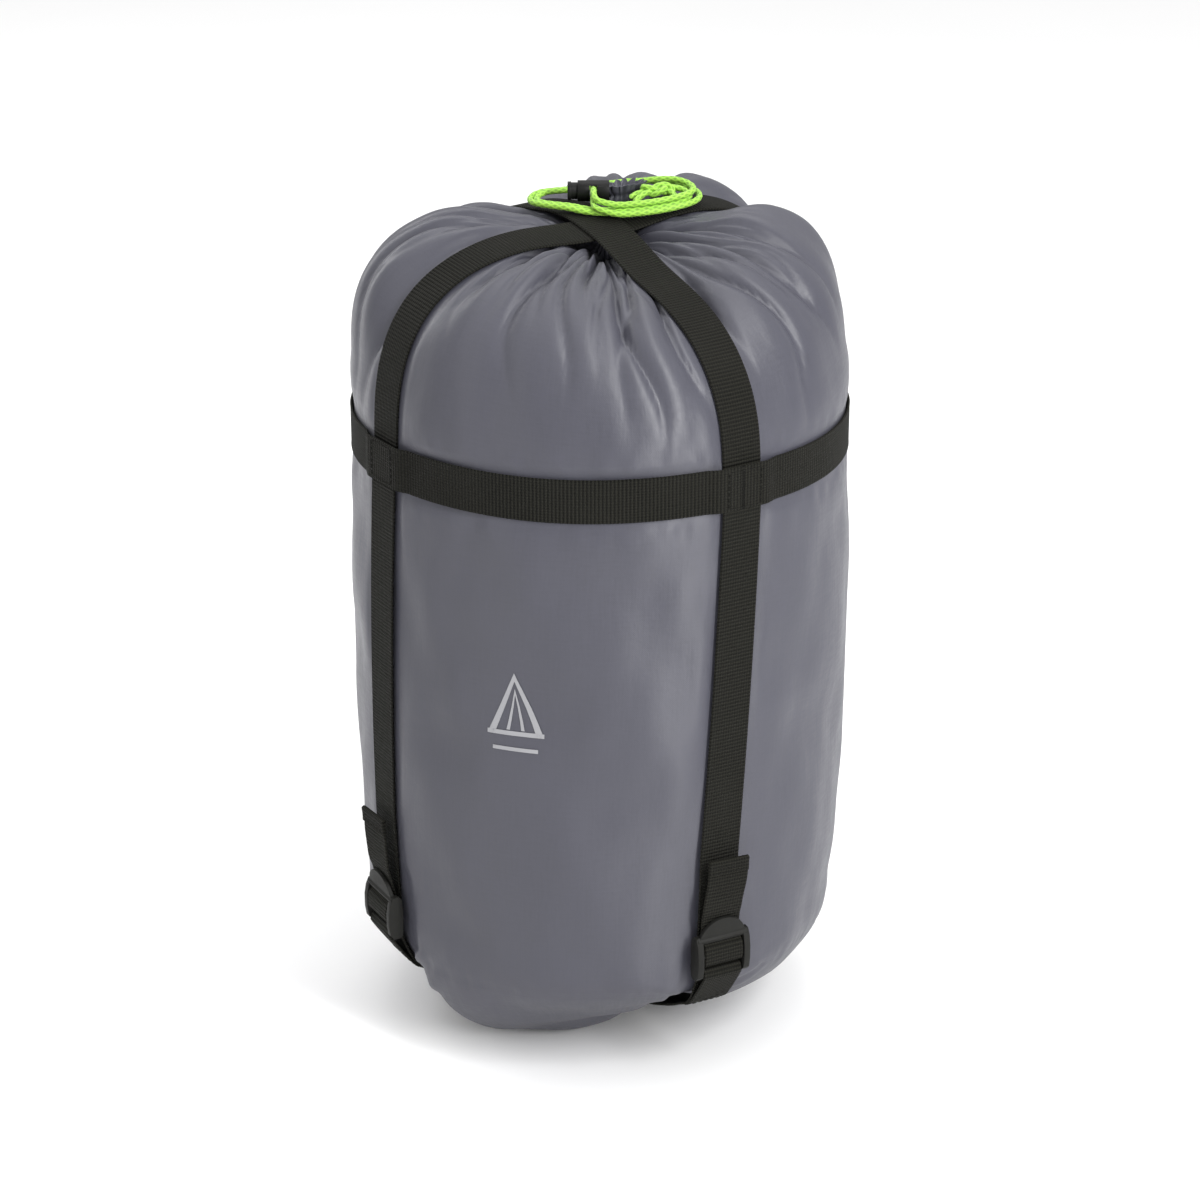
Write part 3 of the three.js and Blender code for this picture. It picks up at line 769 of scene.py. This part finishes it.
def shoulder_swell(x, y, z, beside):
    """Full shoulders between the straps that hold the crown down."""
    direction = np.arctan2(x, -y)
    full = CROWN_SWELL
    for towards, width, more in CROWN_SWELLS:
        full = full + more * near_angle(direction, math.radians(towards), width)
    full = full * smooth(z, RING_HEIGHT + 40, RING_HEIGHT + 100) * smooth(np.hypot(x, y), *SWELL_RADIUS)
    return full * smooth(beside, HALF_WEB, SWELL_BESIDE)


def base_edge(x, y, angle, low):
    """The base's edge drawn in or standing out, and its hollows."""
    rounded = smooth(low, 0.2, 12) * (1 - smooth(low, 25, 75))
    out = HEEL * near_angle(angle, HEEL_TOWARDS, HEEL_WIDTH) * rounded
    out = out - SLACK * near_angle(angle, SLACK_TOWARDS, SLACK_WIDTH) * rounded
    for dent_x, dent_y, depth, radius in DENTS:
        out = out - depth * bell(np.hypot(x - dent_x, y - dent_y), 0, radius) * (1 - smooth(low, 20, 60))
    return out


def seam_relief(angle, z):
    """The seam between base and side, with the puckers that its thread pulls."""
    seam = SEAM_AT + 1.5 * np.sin(3 * angle + 1)
    return waves(angle, z, SEAM_PUCKERS) * np.exp(-np.abs(z - seam) / 9) - 0.35 * bell(z, seam, 1.2)


def gathers(points, angle):
    """Creases of the crown's rows, round their own mean."""
    step = np.linalg.norm(np.diff(points[:, :: COLUMNS // 8], axis=0), axis=2).mean(1)
    from_mouth = np.concatenate([np.cumsum(step[::-1])[::-1], [0]]) + 6
    round_way = np.linalg.norm(np.roll(points, -1, 1) - points, axis=2).mean(1) * COLUMNS
    reach = round_way / (2 * math.pi)
    gathered = creases(angle, from_mouth, reach, *PLEATS)
    gathered += creases(angle, from_mouth, reach, *TUCKS)
    gathered -= gathered.mean(1, keepdims=True) * smooth(from_mouth, 8, 70)[:, None] * 0.9
    return np.minimum(gathered, 1.2 + 6 * smooth(from_mouth, 45, 130)[:, None])


def pressed(out, on_crown, beside, z):
    """Flat under straps and buckles, and under the ring strap."""
    wide = HALF_WEB + 6.5 * (smooth(z, 62, 68) - smooth(z, 113, 124))
    share = 1 - smooth(beside, wide, wide + 8)
    edge = np.where(on_crown, -0.9, -HUG)
    out = np.where(out > edge, out * (1 - share) + edge * share, out)
    under_ring = 1 - smooth(np.abs(z - RING_HEIGHT), HALF_WEB - 1, HALF_WEB + 7)
    return out * (1 - under_ring) - HUG * under_ring


def fabric_relief(stations, points, angle):
    """How far the fabric stands out from the plain surface, in millimetres."""
    x, y, z = np.moveaxis(points, -1, 0)
    on_crown = stations[:, 2, None] > 0
    low = stations[:, 1, None]
    beside = np.minimum(np.abs(x), np.abs(y))
    round_way = angle[None, :]
    out = waves(round_way, z, WALL_WAVES) * smooth(z, 12, 70)
    out += WALL_SWELL * smooth(beside, HALF_WEB + 1, HALF_WEB + 36) * smooth(z, 70, 130)
    out += shoulder_swell(x, y, z, beside)
    out += base_edge(x, y, round_way, low)
    from_ring = np.abs(z - RING_HEIGHT)
    out += 0.6 * bell(from_ring, 27, 15) + waves(round_way, z, RING_WAVES) * bell(from_ring, 17, 9)
    out += seam_relief(round_way, z)
    rows = stations[:, 2] > 0
    out[rows] += gathers(points[rows], angle)
    out += strap_tucks(x, y, z) * (low < BASE_ROUND + 20)
    out = pressed(out, on_crown, beside, z)
    # Drawn in by the straps under the base, and a little more where they cross.
    dip = UNDERPASS * (1 - smooth(np.abs(y), 15, 50)) * (np.abs(x) < np.abs(y) + 14)
    held = 1 - lobe(np.abs(x)) * lobe(np.abs(y))
    grooved = (strap_depth(stations) + 0.5 + dip * (low < 1)) * held
    return np.where(low < BASE_ROUND, out - grooved, out)


def held_share(stations, points):
    """1 where straps, mouth or floor hold the fabric still, and 0 where it is free."""
    x, y, z = np.moveaxis(points, -1, 0)
    strapped = 1 - smooth(np.minimum(np.abs(x), np.abs(y)), HALF_WEB + 5, HALF_WEB + 14)
    ringed = 1 - smooth(np.abs(z - RING_HEIGHT), HALF_WEB + 2, HALF_WEB + 10)
    grounded = 1 - smooth(z, 10, 45)
    gathered = smooth(stations[:, 2, None], 0.6, 0.85)
    return np.max(np.broadcast_arrays(strapped, ringed, grounded, gathered), axis=0)


def settled(points, stations):
    """Cloth simulation: slightly loose fabric, pushed out by its filling, wrinkles between what holds it."""
    rows = np.unique(np.append(np.arange(0, len(stations), SIM_STEP), len(stations) - 1))
    coarse = points[rows][:, ::SIM_STEP]
    held = held_share(stations[rows], coarse)
    count = coarse.shape[1]
    cloth = mesh_object("settling", coarse, capped_faces(len(rows), count, flipped=True), FABRIC)
    group = cloth.vertex_groups.new(name="held")
    for index, weight in enumerate(held.ravel()):
        if weight > 0.02:
            group.add([index], float(weight), "REPLACE")
    settings = cloth.modifiers.new("cloth", "CLOTH").settings
    settings.vertex_group_mass = "held"
    settings.quality = 6
    settings.mass = 0.08
    settings.air_damping = 6
    settings.tension_stiffness = settings.compression_stiffness = 14
    settings.shear_stiffness = 5
    settings.bending_stiffness = 1.2
    settings.shrink_min = -LOOSENESS
    settings.use_pressure = True
    settings.uniform_pressure_force = 2.5
    settings.effector_weights.gravity = 0
    for step in range(1, SIM_FRAMES + 1):
        bpy.context.scene.frame_set(step)
    shown = cloth.evaluated_get(bpy.context.evaluated_depsgraph_get()).data
    after = np.empty(len(shown.vertices) * 3, np.float32)
    shown.vertices.foreach_get("co", after)
    bpy.context.scene.frame_set(1)
    bpy.data.objects.remove(cloth)
    shift = after.reshape(coarse.shape) / MM - coarse
    size = np.linalg.norm(shift, axis=-1, keepdims=True) + 1e-9
    shift *= SIM_CAP * np.tanh(size / SIM_CAP) / size
    for _ in range(2):
        shift[1:-1] = (shift[:-2] + 2 * shift[1:-1] + shift[2:]) / 4
        shift = (np.roll(shift, 1, axis=1) + 2 * shift + np.roll(shift, -1, axis=1)) / 4
    shift = np.concatenate([shift, shift[:, :1]], axis=1)
    fine = np.empty_like(points)
    columns = np.arange(points.shape[1]) / SIM_STEP
    for axis in range(3):
        across = np.array([np.interp(columns, np.arange(count + 1), row) for row in shift[..., axis]])
        fine[..., axis] = np.array([np.interp(np.arange(len(stations)), rows, line) for line in across.T]).T
    return points + fine


def fabric_points():
    stations = fabric_stations()
    angle = np.linspace(0, 2 * math.pi, COLUMNS, endpoint=False)
    points = fabric_surface(stations, angle)
    relief = fabric_relief(stations, points, angle)
    moved = points + relief[..., None] * surface_normals(points)
    moved = settled(moved, stations)
    moved[..., 2] = moved[..., 2].clip(0)
    return turned(moved, twist_at(moved[..., 2]))


def cloth_lie(points):
    """Metres round and up the cloth, at each point of a grid."""
    up = np.concatenate([[0], np.cumsum(np.linalg.norm(np.diff(points, axis=0), axis=2).mean(1))])
    round_way = np.linspace(0, 2 * math.pi, points.shape[1], endpoint=False) * RING_RADIUS
    return flat_lie(round_way[None, :], up[:, None])


def add_fabric():
    points = fabric_points()
    rows, columns = points.shape[:2]
    faces = grid_faces(rows, columns, closed=True)
    bottom = points[0].mean(0)
    mouth = points[-1].mean(0) - [0, 0, 3]
    all_points = np.vstack([points.reshape(-1, 3), bottom, mouth])
    first, last = rows * columns, (rows - 1) * columns
    faces += [((c + 1) % columns, c, first) for c in range(columns)]
    faces += [(last + c, last + (c + 1) % columns, first + 1) for c in range(columns)]
    lie = np.vstack([cloth_lie(points), np.zeros((2, 3))])
    sack = mesh_object("sack_fabric", all_points, faces, FABRIC, lie=lie)
    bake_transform(sack)
    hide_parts("base_panel", "side_panel", "packed_contents", "crown_panel", "crown_contents")
    return sack


sack = add_fabric()

# ---- Webbing ----
SELVEDGE = 1.0  # width of the thicker edge on both sides
STITCH_PITCH = 3.4
STITCH = (2.6, 0.55)  # length and thickness


def web_section():
    """Webbing's section: flat faces with a thicker, rounded selvedge on each edge."""
    half = HALF_WEB
    inner = [-half + 0.5, -half + 2.2, -half / 3, half / 3, half - 2.2, half - 0.5]
    lower = [(a, 0.0) for a in inner]
    upper = [(a, WEB_THICK if abs(a) > half - SELVEDGE else WEB_THICK - 0.12) for a in reversed(inner)]
    return np.array([*lower, (half, WEB_THICK / 2), *upper, (-half, WEB_THICK / 2)])


SECTION = web_section()


def swept(path, wide, up):
    """Webbing's section carried along its inner face, given the directions across it and out of it."""
    across, rise = SECTION.T
    return path[:, None] + across[None, :, None] * wide[:, None] + rise[None, :, None] * up[:, None]


def band_mesh(name, points, material, closed=False):
    """Webbing from a grid of swept section points."""
    rows, columns = points.shape[:2]
    faces = loop_faces(rows, columns) if closed else capped_faces(rows, columns)
    lie = flat_lie(SECTION[None, :, 0], distance_along(points.mean(1))[:, None])
    made = mesh_object(name, points, faces, material, lie=lie)
    made.data.set_sharp_from_angle(angle=math.radians(50))
    return made


def flat_path(route, spacing):
    """A smooth line of [out, up] points in a strap's own plane, and the directions to its right."""
    line, _ = curve_through(np.array(route, float), spacing)
    ahead = unit(np.gradient(line, axis=0))
    return line, np.stack([ahead[:, 1], -ahead[:, 0]], -1)


def plane_band(route, spacing):
    """Section points of webbing whose inner face follows [out, up] points, in the front strap's plane."""
    line, right = flat_path(route, spacing)
    path = np.stack([0 * line[:, 0], -line[:, 0], line[:, 1]], -1)
    up = np.stack([0 * line[:, 0], -right[:, 0], right[:, 1]], -1)
    wide = np.broadcast_to([1.0, 0, 0], path.shape)
    return swept(path, wide, up)


def dashes(name, tops, normals):
    """Stitches: a small spindle of thread between each pair of points, half sunk in the webbing."""
    length, thick = STITCH
    turn = np.arange(6)[None, :, None] * math.pi / 3
    place, size = np.array([(-0.5, 0.25), (-0.3, 0.9), (0.3, 0.9), (0.5, 0.25)]).T[..., None, None]
    points, faces = [], []
    for (a, b), up in zip(tops, normals):
        ahead = unit(b - a)
        around = np.cross(ahead, up) * np.cos(turn) + up * np.sin(turn)
        spindle = (a + b) / 2 + ahead * place * length + thick / 2 * size * around
        faces += [tuple(len(points) * 24 + k for k in face) for face in capped_faces(4, 6, flipped=True)]
        points.append(spindle)
    made = mesh_object(name, points, faces, THREAD)
    return made


def stitch_lines(lines):
    """Pairs of flat (across, along) points for stitches on straight lines."""
    pairs = []
    for start, end in lines:
        start, end = np.array(start, float), np.array(end, float)
        whole = np.linalg.norm(end - start)
        count = max(int(whole / STITCH_PITCH), 1)
        ahead = (end - start) / whole
        for k in range(count):
            middle = start + ahead * whole * (k + 0.5) / count
            pairs.append((middle - ahead * STITCH[0] / 2, middle + ahead * STITCH[0] / 2))
    return pairs


def box_stitch(half_across, low, high, cross=True):
    """A stitched rectangle, with a cross in it or without."""
    corners = [(-half_across, low), (half_across, low), (half_across, high), (-half_across, high)]
    lines = list(zip(corners, corners[1:] + corners[:1]))
    if cross:
        lines += [(corners[0], corners[2]), (corners[1], corners[3])]
    return stitch_lines(lines)


def sewn(name, pairs, onto):
    """Stitches carried onto a surface: onto turns (across, along) into a point and its normal."""
    tops, normals = [], []
    for a, b in pairs:
        (start, up), (end, _) = onto(*a), onto(*b)
        tops.append((start, end))
        normals.append(up)
    return dashes(name, tops, normals)


def at(out, up):
    """A point of a strap's plane, its way out taken from the base's radius."""
    return (BASE_RADIUS + out, up)


def riser_route():
    heights = np.linspace(84, RING_HEIGHT + 3, 26)
    return [(float(wall_radius(z)) + GAP, z) for z in heights]


def base_route(dip):
    """From the middle of the base, round the buckle's bottom bar and back down, sewn to itself."""
    near = [(out, up + dip * (1 - float(smooth(out, 15, 50)))) for out, up in BASE_RUN]
    bar = at(BAR_OUT, BAR_HEIGHT)
    reach = LOOP_RADIUS + WEB_THICK
    turn = [(bar[0] - reach * math.cos(a), bar[1] + reach * math.sin(a)) for a in np.linspace(0, math.pi, 7)]
    back = 2 * WEB_THICK + 0.35
    fold = []
    for (out, up), (next_out, next_up) in zip(near[-2:] + [turn[0]], near[-1:] + turn[:2]):
        way = unit(np.array([next_out - out, next_up - up]))
        fold.append((out + way[1] * back, up - way[0] * back))
    middle = ((fold[0][0] + fold[1][0]) / 2, (fold[0][1] + fold[1][1]) / 2)
    return near + turn + [(turn[-1][0] - 0.7, BAR_HEIGHT - 4), fold[1], middle]


WRAP_ROUTE = [
    at(3, 82.9), at(7.7, 82.9), at(9.9, 84.6), at(9.9, 91.6), at(8.2, 94.4), at(5.2, 95.2), at(5.1, 96.2),
    at(5.4, TAIL_START - GAP),
]
TAIL_OUT = 9.3  # where the hem hangs, clear of the ring strap when the sack is compressed
TAIL_SWAY = (2.2, -1.4, 1.8, -2.0)  # how far each tail's hem hangs sideways
TAIL_SKEW = 0.03  # turn of the hem for each millimetre of sway
FOLD_RADIUS = 1.5
HEM_STITCHES = stitch_lines([((-10.5, z), (10.5, z)) for z in (140.4, 143.4)])


def tail_route():
    """From the buckle, out from under its tab, up to the hem and round the hem's fold."""
    top = HEM_TOP - FOLD_RADIUS
    fold = [
        at(TAIL_OUT + FOLD_RADIUS * (1 - math.cos(a)), top + FOLD_RADIUS * math.sin(a))
        for a in np.linspace(0.3, math.pi - 0.1, 5)
    ]
    return [
        at(4, TAIL_START), at(4.2, 100.4), at(5.6, 105), at(6.9, 110.6), at(8.8, 116), at(TAIL_OUT, 122),
        at(TAIL_OUT, HEM_BOTTOM), at(TAIL_OUT, top - 1), *fold, at(11.9, top - 3), at(11.7, HEM_BOTTOM + 0.6),
    ]


def add_straps():
    for quarter, side in enumerate(SIDES):
        turn, sway = quarter * QUARTER, TAIL_SWAY[quarter]

        riser = turned(plane_band(riser_route(), 3.0), turn)
        riser = band_mesh(f"riser_{side}", turned(riser, twist_at(riser[..., 2])), WEBBING)
        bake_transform(riser)
        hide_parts(f"riser_{side}")

        wrap = band_mesh(f"wrap_{side}", turned(plane_band(WRAP_ROUTE, 0.9), turn), WEBBING)
        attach(wrap, f"buckle_{side}")
        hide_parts(f"strap_wrap_{side}")

        hanging = plane_band(tail_route(), 1.1)
        swing = smooth(hanging[..., 2], TAIL_START, HEM_BOTTOM)
        hanging[..., 0] += sway * (swing - 0.9 * np.sin(swing * math.pi))
        hanging[..., 1] -= TAIL_SKEW * sway * swing * hanging[..., 0]
        tail = band_mesh(f"tail_{side}", turned(hanging, turn), STANDING_WEBBING)
        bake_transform(tail)
        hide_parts(f"tail_strip_{side}", f"tail_hem_{side}")

        def on_hem(across, up):
            out = BASE_RADIUS + 12.0 + TAIL_SKEW * sway * across
            return turned(np.array([across + sway, -out, up]), turn), turned(np.array([0, -1.0, 0]), turn)

        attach(sewn(f"hem_stitches_{side}", HEM_STITCHES, on_hem), f"tail_{side}")


def add_base_straps():
    spacing = 1.2
    for name, dip, turn in (("base_strap_front_back", UNDERPASS, 0), ("base_strap_side_to_side", 0, QUARTER)):
        route = base_route(dip)
        half = plane_band(route, spacing)
        other = plane_band([(-out, up) for out, up in reversed(route)], spacing)
        strap = band_mesh(name, turned(np.concatenate([other, half[1:]]), turn), WEBBING)
        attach(strap, "root")
        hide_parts(name)
        line, right = flat_path(route, spacing)

        def on_fold(across, along):
            row = len(line) - 3 - int(along / spacing)
            up = np.array([0, right[row, 0], -right[row, 1]])
            return np.array([across, -line[row, 0], line[row, 1]]) + up * 0.05, up

        for end, towards in (("near", 0), ("far", math.pi)):
            stitches = sewn(f"{name}_stitches_{end}", box_stitch(9.5, 2, 11), on_fold)
            co = np.array([v.co for v in stitches.data.vertices])
            stitches.data.vertices.foreach_set("co", turned(co, turn + towards).astype(np.float32).ravel())
            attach(stitches, "root")


def crown_route(over, count=46):
    """Half of a strap over the crown: [radius, height] of its inner face before it is lifted."""
    t = (1 - np.cos(math.pi * np.linspace(0, 1, count))) / 2
    radius, height = crown_profile(t, GAP)
    near = 1 - smooth(radius, HALF_WEB + 3, 55)
    clear = STRAP_CLEAR * smooth(height, RING_HEIGHT, RING_HEIGHT + 60)
    half = np.stack([radius, height + clear + over * near], -1)
    far = half[:-1] * [-1, 1]
    return np.concatenate([half, far[::-1]])


def add_crown_straps():
    crossings = (("cross_strap_side_to_side", 0, QUARTER), ("cross_strap_front_back", WEB_THICK + GAP, 0))
    for name, over, turn in crossings:
        points = turned(plane_band(crown_route(over)[::-1], 2.4), turn)
        points[..., 2] += lift(points[..., 0], points[..., 1], points[..., 2])
        strap = band_mesh(name, turned(points, TWIST), WEBBING)
        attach(strap, "top")
        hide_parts(name)


RING_INNER = RING_RADIUS + 0.3
RING_ON_STRAP = RING_RADIUS + GAP + WEB_THICK + 0.35


def ring_inner(angle):
    """Inner radius of the ring strap: on the fabric, and flat over each standing strap."""
    off = (angle + QUARTER / 2) % QUARTER - QUARTER / 2
    share = 1 - smooth(np.abs(off) * RING_RADIUS, HALF_WEB + 0.4, HALF_WEB + 11)
    return np.maximum(RING_INNER * (1 - share) + RING_ON_STRAP / np.cos(off) * share, RING_INNER)


def add_ring_strap():
    angle = np.linspace(0, 2 * math.pi, 420, endpoint=False)
    out = np.stack([np.sin(angle), -np.cos(angle), 0 * angle], -1)
    path = out * ring_inner(angle)[:, None]
    path[:, 2] = RING_HEIGHT + 0.5 * np.sin(2 * angle + 0.6) + 0.35 * np.sin(5 * angle + 2)
    down = np.broadcast_to([0, 0, -1.0], out.shape)
    ring = band_mesh("ring_strap", turned(swept(path, down, out), TWIST), WEBBING, closed=True)
    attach(ring, "top")
    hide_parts("ring_strap")
    for quarter, side in enumerate(SIDES):

        def on_ring(across, up):
            turn = quarter * QUARTER + TWIST
            place = np.array([across, -RING_ON_STRAP - WEB_THICK - 0.07, RING_HEIGHT + up])
            return turned(place, turn), turned(np.array([0, -1.0, 0]), turn)

        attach(sewn(f"ring_stitches_{side}", box_stitch(10.6, -10.4, 10.4, cross=False), on_ring), "top")


add_straps()
add_base_straps()
add_crown_straps()
add_ring_strap()

# ---- The cinched mouth: a hem bunched into flutes round the cord ----
FLUTES = 13
MOUTH_SIDES = 234
MOUTH_ROWS = 22
# How the lip turns in to a fold in the middle: share of the mouth's size, and drop below its rim.
LIP = ((0.97, -0.25), (0.9, 0.25), (0.72, 2.4), (0.4, 3.4), (0.12, 3.8))


def add_mouth():
    angle = np.linspace(0, 2 * math.pi, MOUTH_SIDES, endpoint=False)
    depth = CHANCE.uniform(0.75, 1.2, FLUTES)
    off = CHANCE.uniform(-0.12, 0.12, FLUTES)
    flute = (angle / (2 * math.pi) * FLUTES + 0.5).astype(int) % FLUTES
    wave = np.cos(FLUTES * (angle + off[flute])) * depth[flute]
    grid = []
    for t in np.linspace(0, 1, MOUTH_ROWS):
        neck = 1 - 0.22 * bell(t, 0.45, 0.16)
        size = neck * (0.93 + 0.2 * t**2) * (1 + (0.03 + 0.13 * t) * wave)
        u = MOUTH_AT[0] + MOUTH_HALF[0] * size * np.cos(angle)
        v = MOUTH_AT[1] + MOUTH_HALF[1] * size * np.sin(angle) - 1.6 * t**2
        grid.append(over_crown(u, v, -1.5 + t * (MOUTH_HEIGHT + 2.2) + 0.7 * t * wave))
    rim = grid[-1]
    middle = over_crown([MOUTH_AT[0]], [MOUTH_AT[1]], 0.0)[0]
    for share, drop in LIP:
        grid.append(rim + (middle - rim) * [1 - share, 1 - share, 0] - [0, 0, drop])
    grid = np.array(grid)
    faces = capped_faces(len(grid), MOUTH_SIDES, flipped=True)
    lie = cloth_lie(grid) * [0.1, 1, 1]
    mouth = mesh_object("mouth_channel_gathered", grid, faces, FABRIC, lie=lie)
    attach(mouth, "top")
    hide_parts("mouth_channel")


add_mouth()


# ---- A small printed mark: a plain tent ----
PRINT_TOWARDS = math.radians(-47.7)
PRINT_HEIGHT = 240
PRINT_LIFT = 0.35  # over the cloth
TENT_HALF = 16.5
TENT_TALL = 47
TENT_LINE = 3.2


def tent_bands():
    """Each printed band: the (across, up) points on both its edges, at its start and at its end."""
    half, apex, line = TENT_HALF, TENT_TALL / 2, TENT_LINE
    foot = -0.62 * apex
    door, ground = 0.32 * half, 0.8 * half
    tip, door_top = ((0, apex), (0, apex - 1.6 * line)), ((0, apex - 3 * line), (0, apex - 4.2 * line))
    slopes = [[((s * half, foot), (s * (half - 1.3 * line), foot)), tip] for s in (-1, 1)]
    doors = [[((s * door, foot + line), (s * (door - 2), foot + line)), door_top] for s in (-1, 1)]
    floor = [((s * half, foot), (s * half, foot + 0.8 * line)) for s in (-1, 1)]
    below = [((s * ground, -apex), (s * ground, 2.2 - apex)) for s in (-1, 1)]
    return [*slopes, floor, *doors, below]


def add_print():
    vertices = [v.co.copy() for v in sack.data.vertices]
    tree = BVHTree.FromPolygons(vertices, [tuple(p.vertices) for p in sack.data.polygons])
    out = heading(PRINT_TOWARDS, 0)
    side = Vector((math.cos(PRINT_TOWARDS), math.sin(PRINT_TOWARDS), 0))
    length, width = 40, 4
    grid, faces, lie = [], [], []
    for band in tent_bands():
        (start_a, start_b), (end_a, end_b) = np.array(band, float)
        faces += [tuple(len(grid) + k for k in face) for face in grid_faces(length + 1, width + 1)]
        for i in np.linspace(0, 1, length + 1):
            for j in np.linspace(0, 1, width + 1):
                across, up = (start_a * (1 - j) + start_b * j) * (1 - i) + (end_a * (1 - j) + end_b * j) * i
                origin = (side * across + Vector((0, 0, PRINT_HEIGHT + up))) * MM + out * 0.3
                hit, normal, _, _ = tree.ray_cast(origin, -out)
                grid.append(hit / MM + normal * PRINT_LIFT)
                lie.append((across * MM, up * MM, 0))
    mark = mesh_object("printed_tent", grid, faces, PRINT, lie=lie)
    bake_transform(mark)


add_print()


# ---- Moulded parts of the CAD model: softened edges and their materials ----
def soften(made, width, segments=3):
    """Merge the faceted node's split corners, round its edges and keep its flats flat."""
    weld = made.modifiers.new("weld", "WELD")
    weld.merge_threshold = 0.005 * MM
    bevel = made.modifiers.new("bevel", "BEVEL")
    bevel.width = width * MM
    bevel.segments = segments
    bevel.limit_method = "ANGLE"
    bevel.angle_limit = math.radians(28)
    bevel.harden_normals = True
    made.data.shade_smooth()


MOULDED = {f"ladder_lock_{side}": (0.55, BUCKLE) for side in SIDES}
MOULDED |= {"cord_lock_barrel": (0.5, LOCK), "cord_lock_plunger": (0.6, LOCK)}


def add_moulded_parts():
    for name, (width, material) in MOULDED.items():
        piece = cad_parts[name]
        soften(piece, width)
        piece.data.materials.clear()
        piece.data.materials.append(material)


SPRING_FROM = -7.25  # along the lock, from its middle towards its button
SPRING_TO = -3.95
SPRING_TURNS = 2
SPRING_RADIUS = (4.0, 2.2)
SPRING_WIRE = 0.8


def add_spring():
    """A conical spring that shortens as the plunger goes in."""
    t = np.linspace(0, 1, 120)
    angle = 2 * math.pi * SPRING_TURNS * t
    radius = SPRING_RADIUS[0] + (SPRING_RADIUS[1] - SPRING_RADIUS[0]) * t
    along = SPRING_FROM + (SPRING_TO - SPRING_FROM) * t
    path = at_lock(LOCK_AT[0] - along, LOCK_AT[1] + radius * np.cos(angle), radius * np.sin(angle))
    sides = 10
    points = tube_points(path, np.full((len(path), 1), SPRING_WIRE / 2), sides)
    spring = mesh_object("lock_spring", points, capped_faces(len(path), sides), STEEL)
    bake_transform(spring)
    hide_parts("cord_lock_spring")


add_moulded_parts()
add_spring()

# ---- Floor and light ----
def add_stage():
    look = Look("floor", (0.93, 0.93, 0.93), 0.75)
    patch = look.noise(look.place(), 1.5, 3)
    look.color(look.mottle(patch, 0.3, 0.7, (0.92, 0.92, 0.92), (0.94, 0.94, 0.94)))
    size = 6000
    corners = [(-size, -size, 0), (size, -size, 0), (size, size, 0), (-size, size, 0)]
    mesh_object("floor", corners, [(0, 1, 2, 3)], look.material)


# Azimuth and elevation in degrees, distance and size in metres, power in watts.
LIGHTS = {
    "key": (14, 30, 2.2, (0.35, 1.8), 52),
    "fill": (-80, 20, 2.6, (0.9, 1.8), 7),
    "top": (150, 70, 2.2, (1.2, 1.2), 12),
    "back": (200, 28, 2.4, (0.5, 1.8), 16),
}
LIGHTS_AIM = Vector((0, 0, 0.27))


def add_lights():
    for name, (azimuth, elevation, distance, size, power) in LIGHTS.items():
        data = bpy.data.lights.new(name, "AREA")
        data.shape = "RECTANGLE"
        data.size, data.size_y = size
        data.energy = power
        place = LIGHTS_AIM + distance * heading(math.radians(azimuth), math.radians(elevation))
        aimed(bpy.data.objects.new(name, data), place, LIGHTS_AIM)


def add_world():
    """A studio that is dim at the sides and bright overhead."""
    world = bpy.data.worlds.new("studio")
    world.use_nodes = True
    nodes, links = world.node_tree.nodes, world.node_tree.links
    up = nodes.new("ShaderNodeSeparateXYZ")
    links.new(nodes.new("ShaderNodeTexCoord").outputs["Generated"], up.inputs[0])
    ceiling = nodes.new("ShaderNodeMapRange")
    for socket, number in zip(("From Min", "From Max", "To Min", "To Max"), (0.1, 0.75, 0.32, 1.1)):
        ceiling.inputs[socket].default_value = number
    links.new(up.outputs[2], ceiling.inputs[0])
    # The studio's walls look white, however little light they throw on the sack.
    seen = nodes.new("ShaderNodeMix")
    links.new(nodes.new("ShaderNodeLightPath").outputs["Is Camera Ray"], seen.inputs["Factor"])
    links.new(ceiling.outputs[0], seen.inputs["A"])
    seen.inputs["B"].default_value = 1.0
    links.new(seen.outputs["Result"], nodes["Background"].inputs["Strength"])
    nodes["Background"].inputs["Color"].default_value = (1, 1, 1, 1)
    bpy.context.scene.world = world


add_stage()
add_lights()
add_world()
bpy.context.scene.view_settings.view_transform = "Standard"
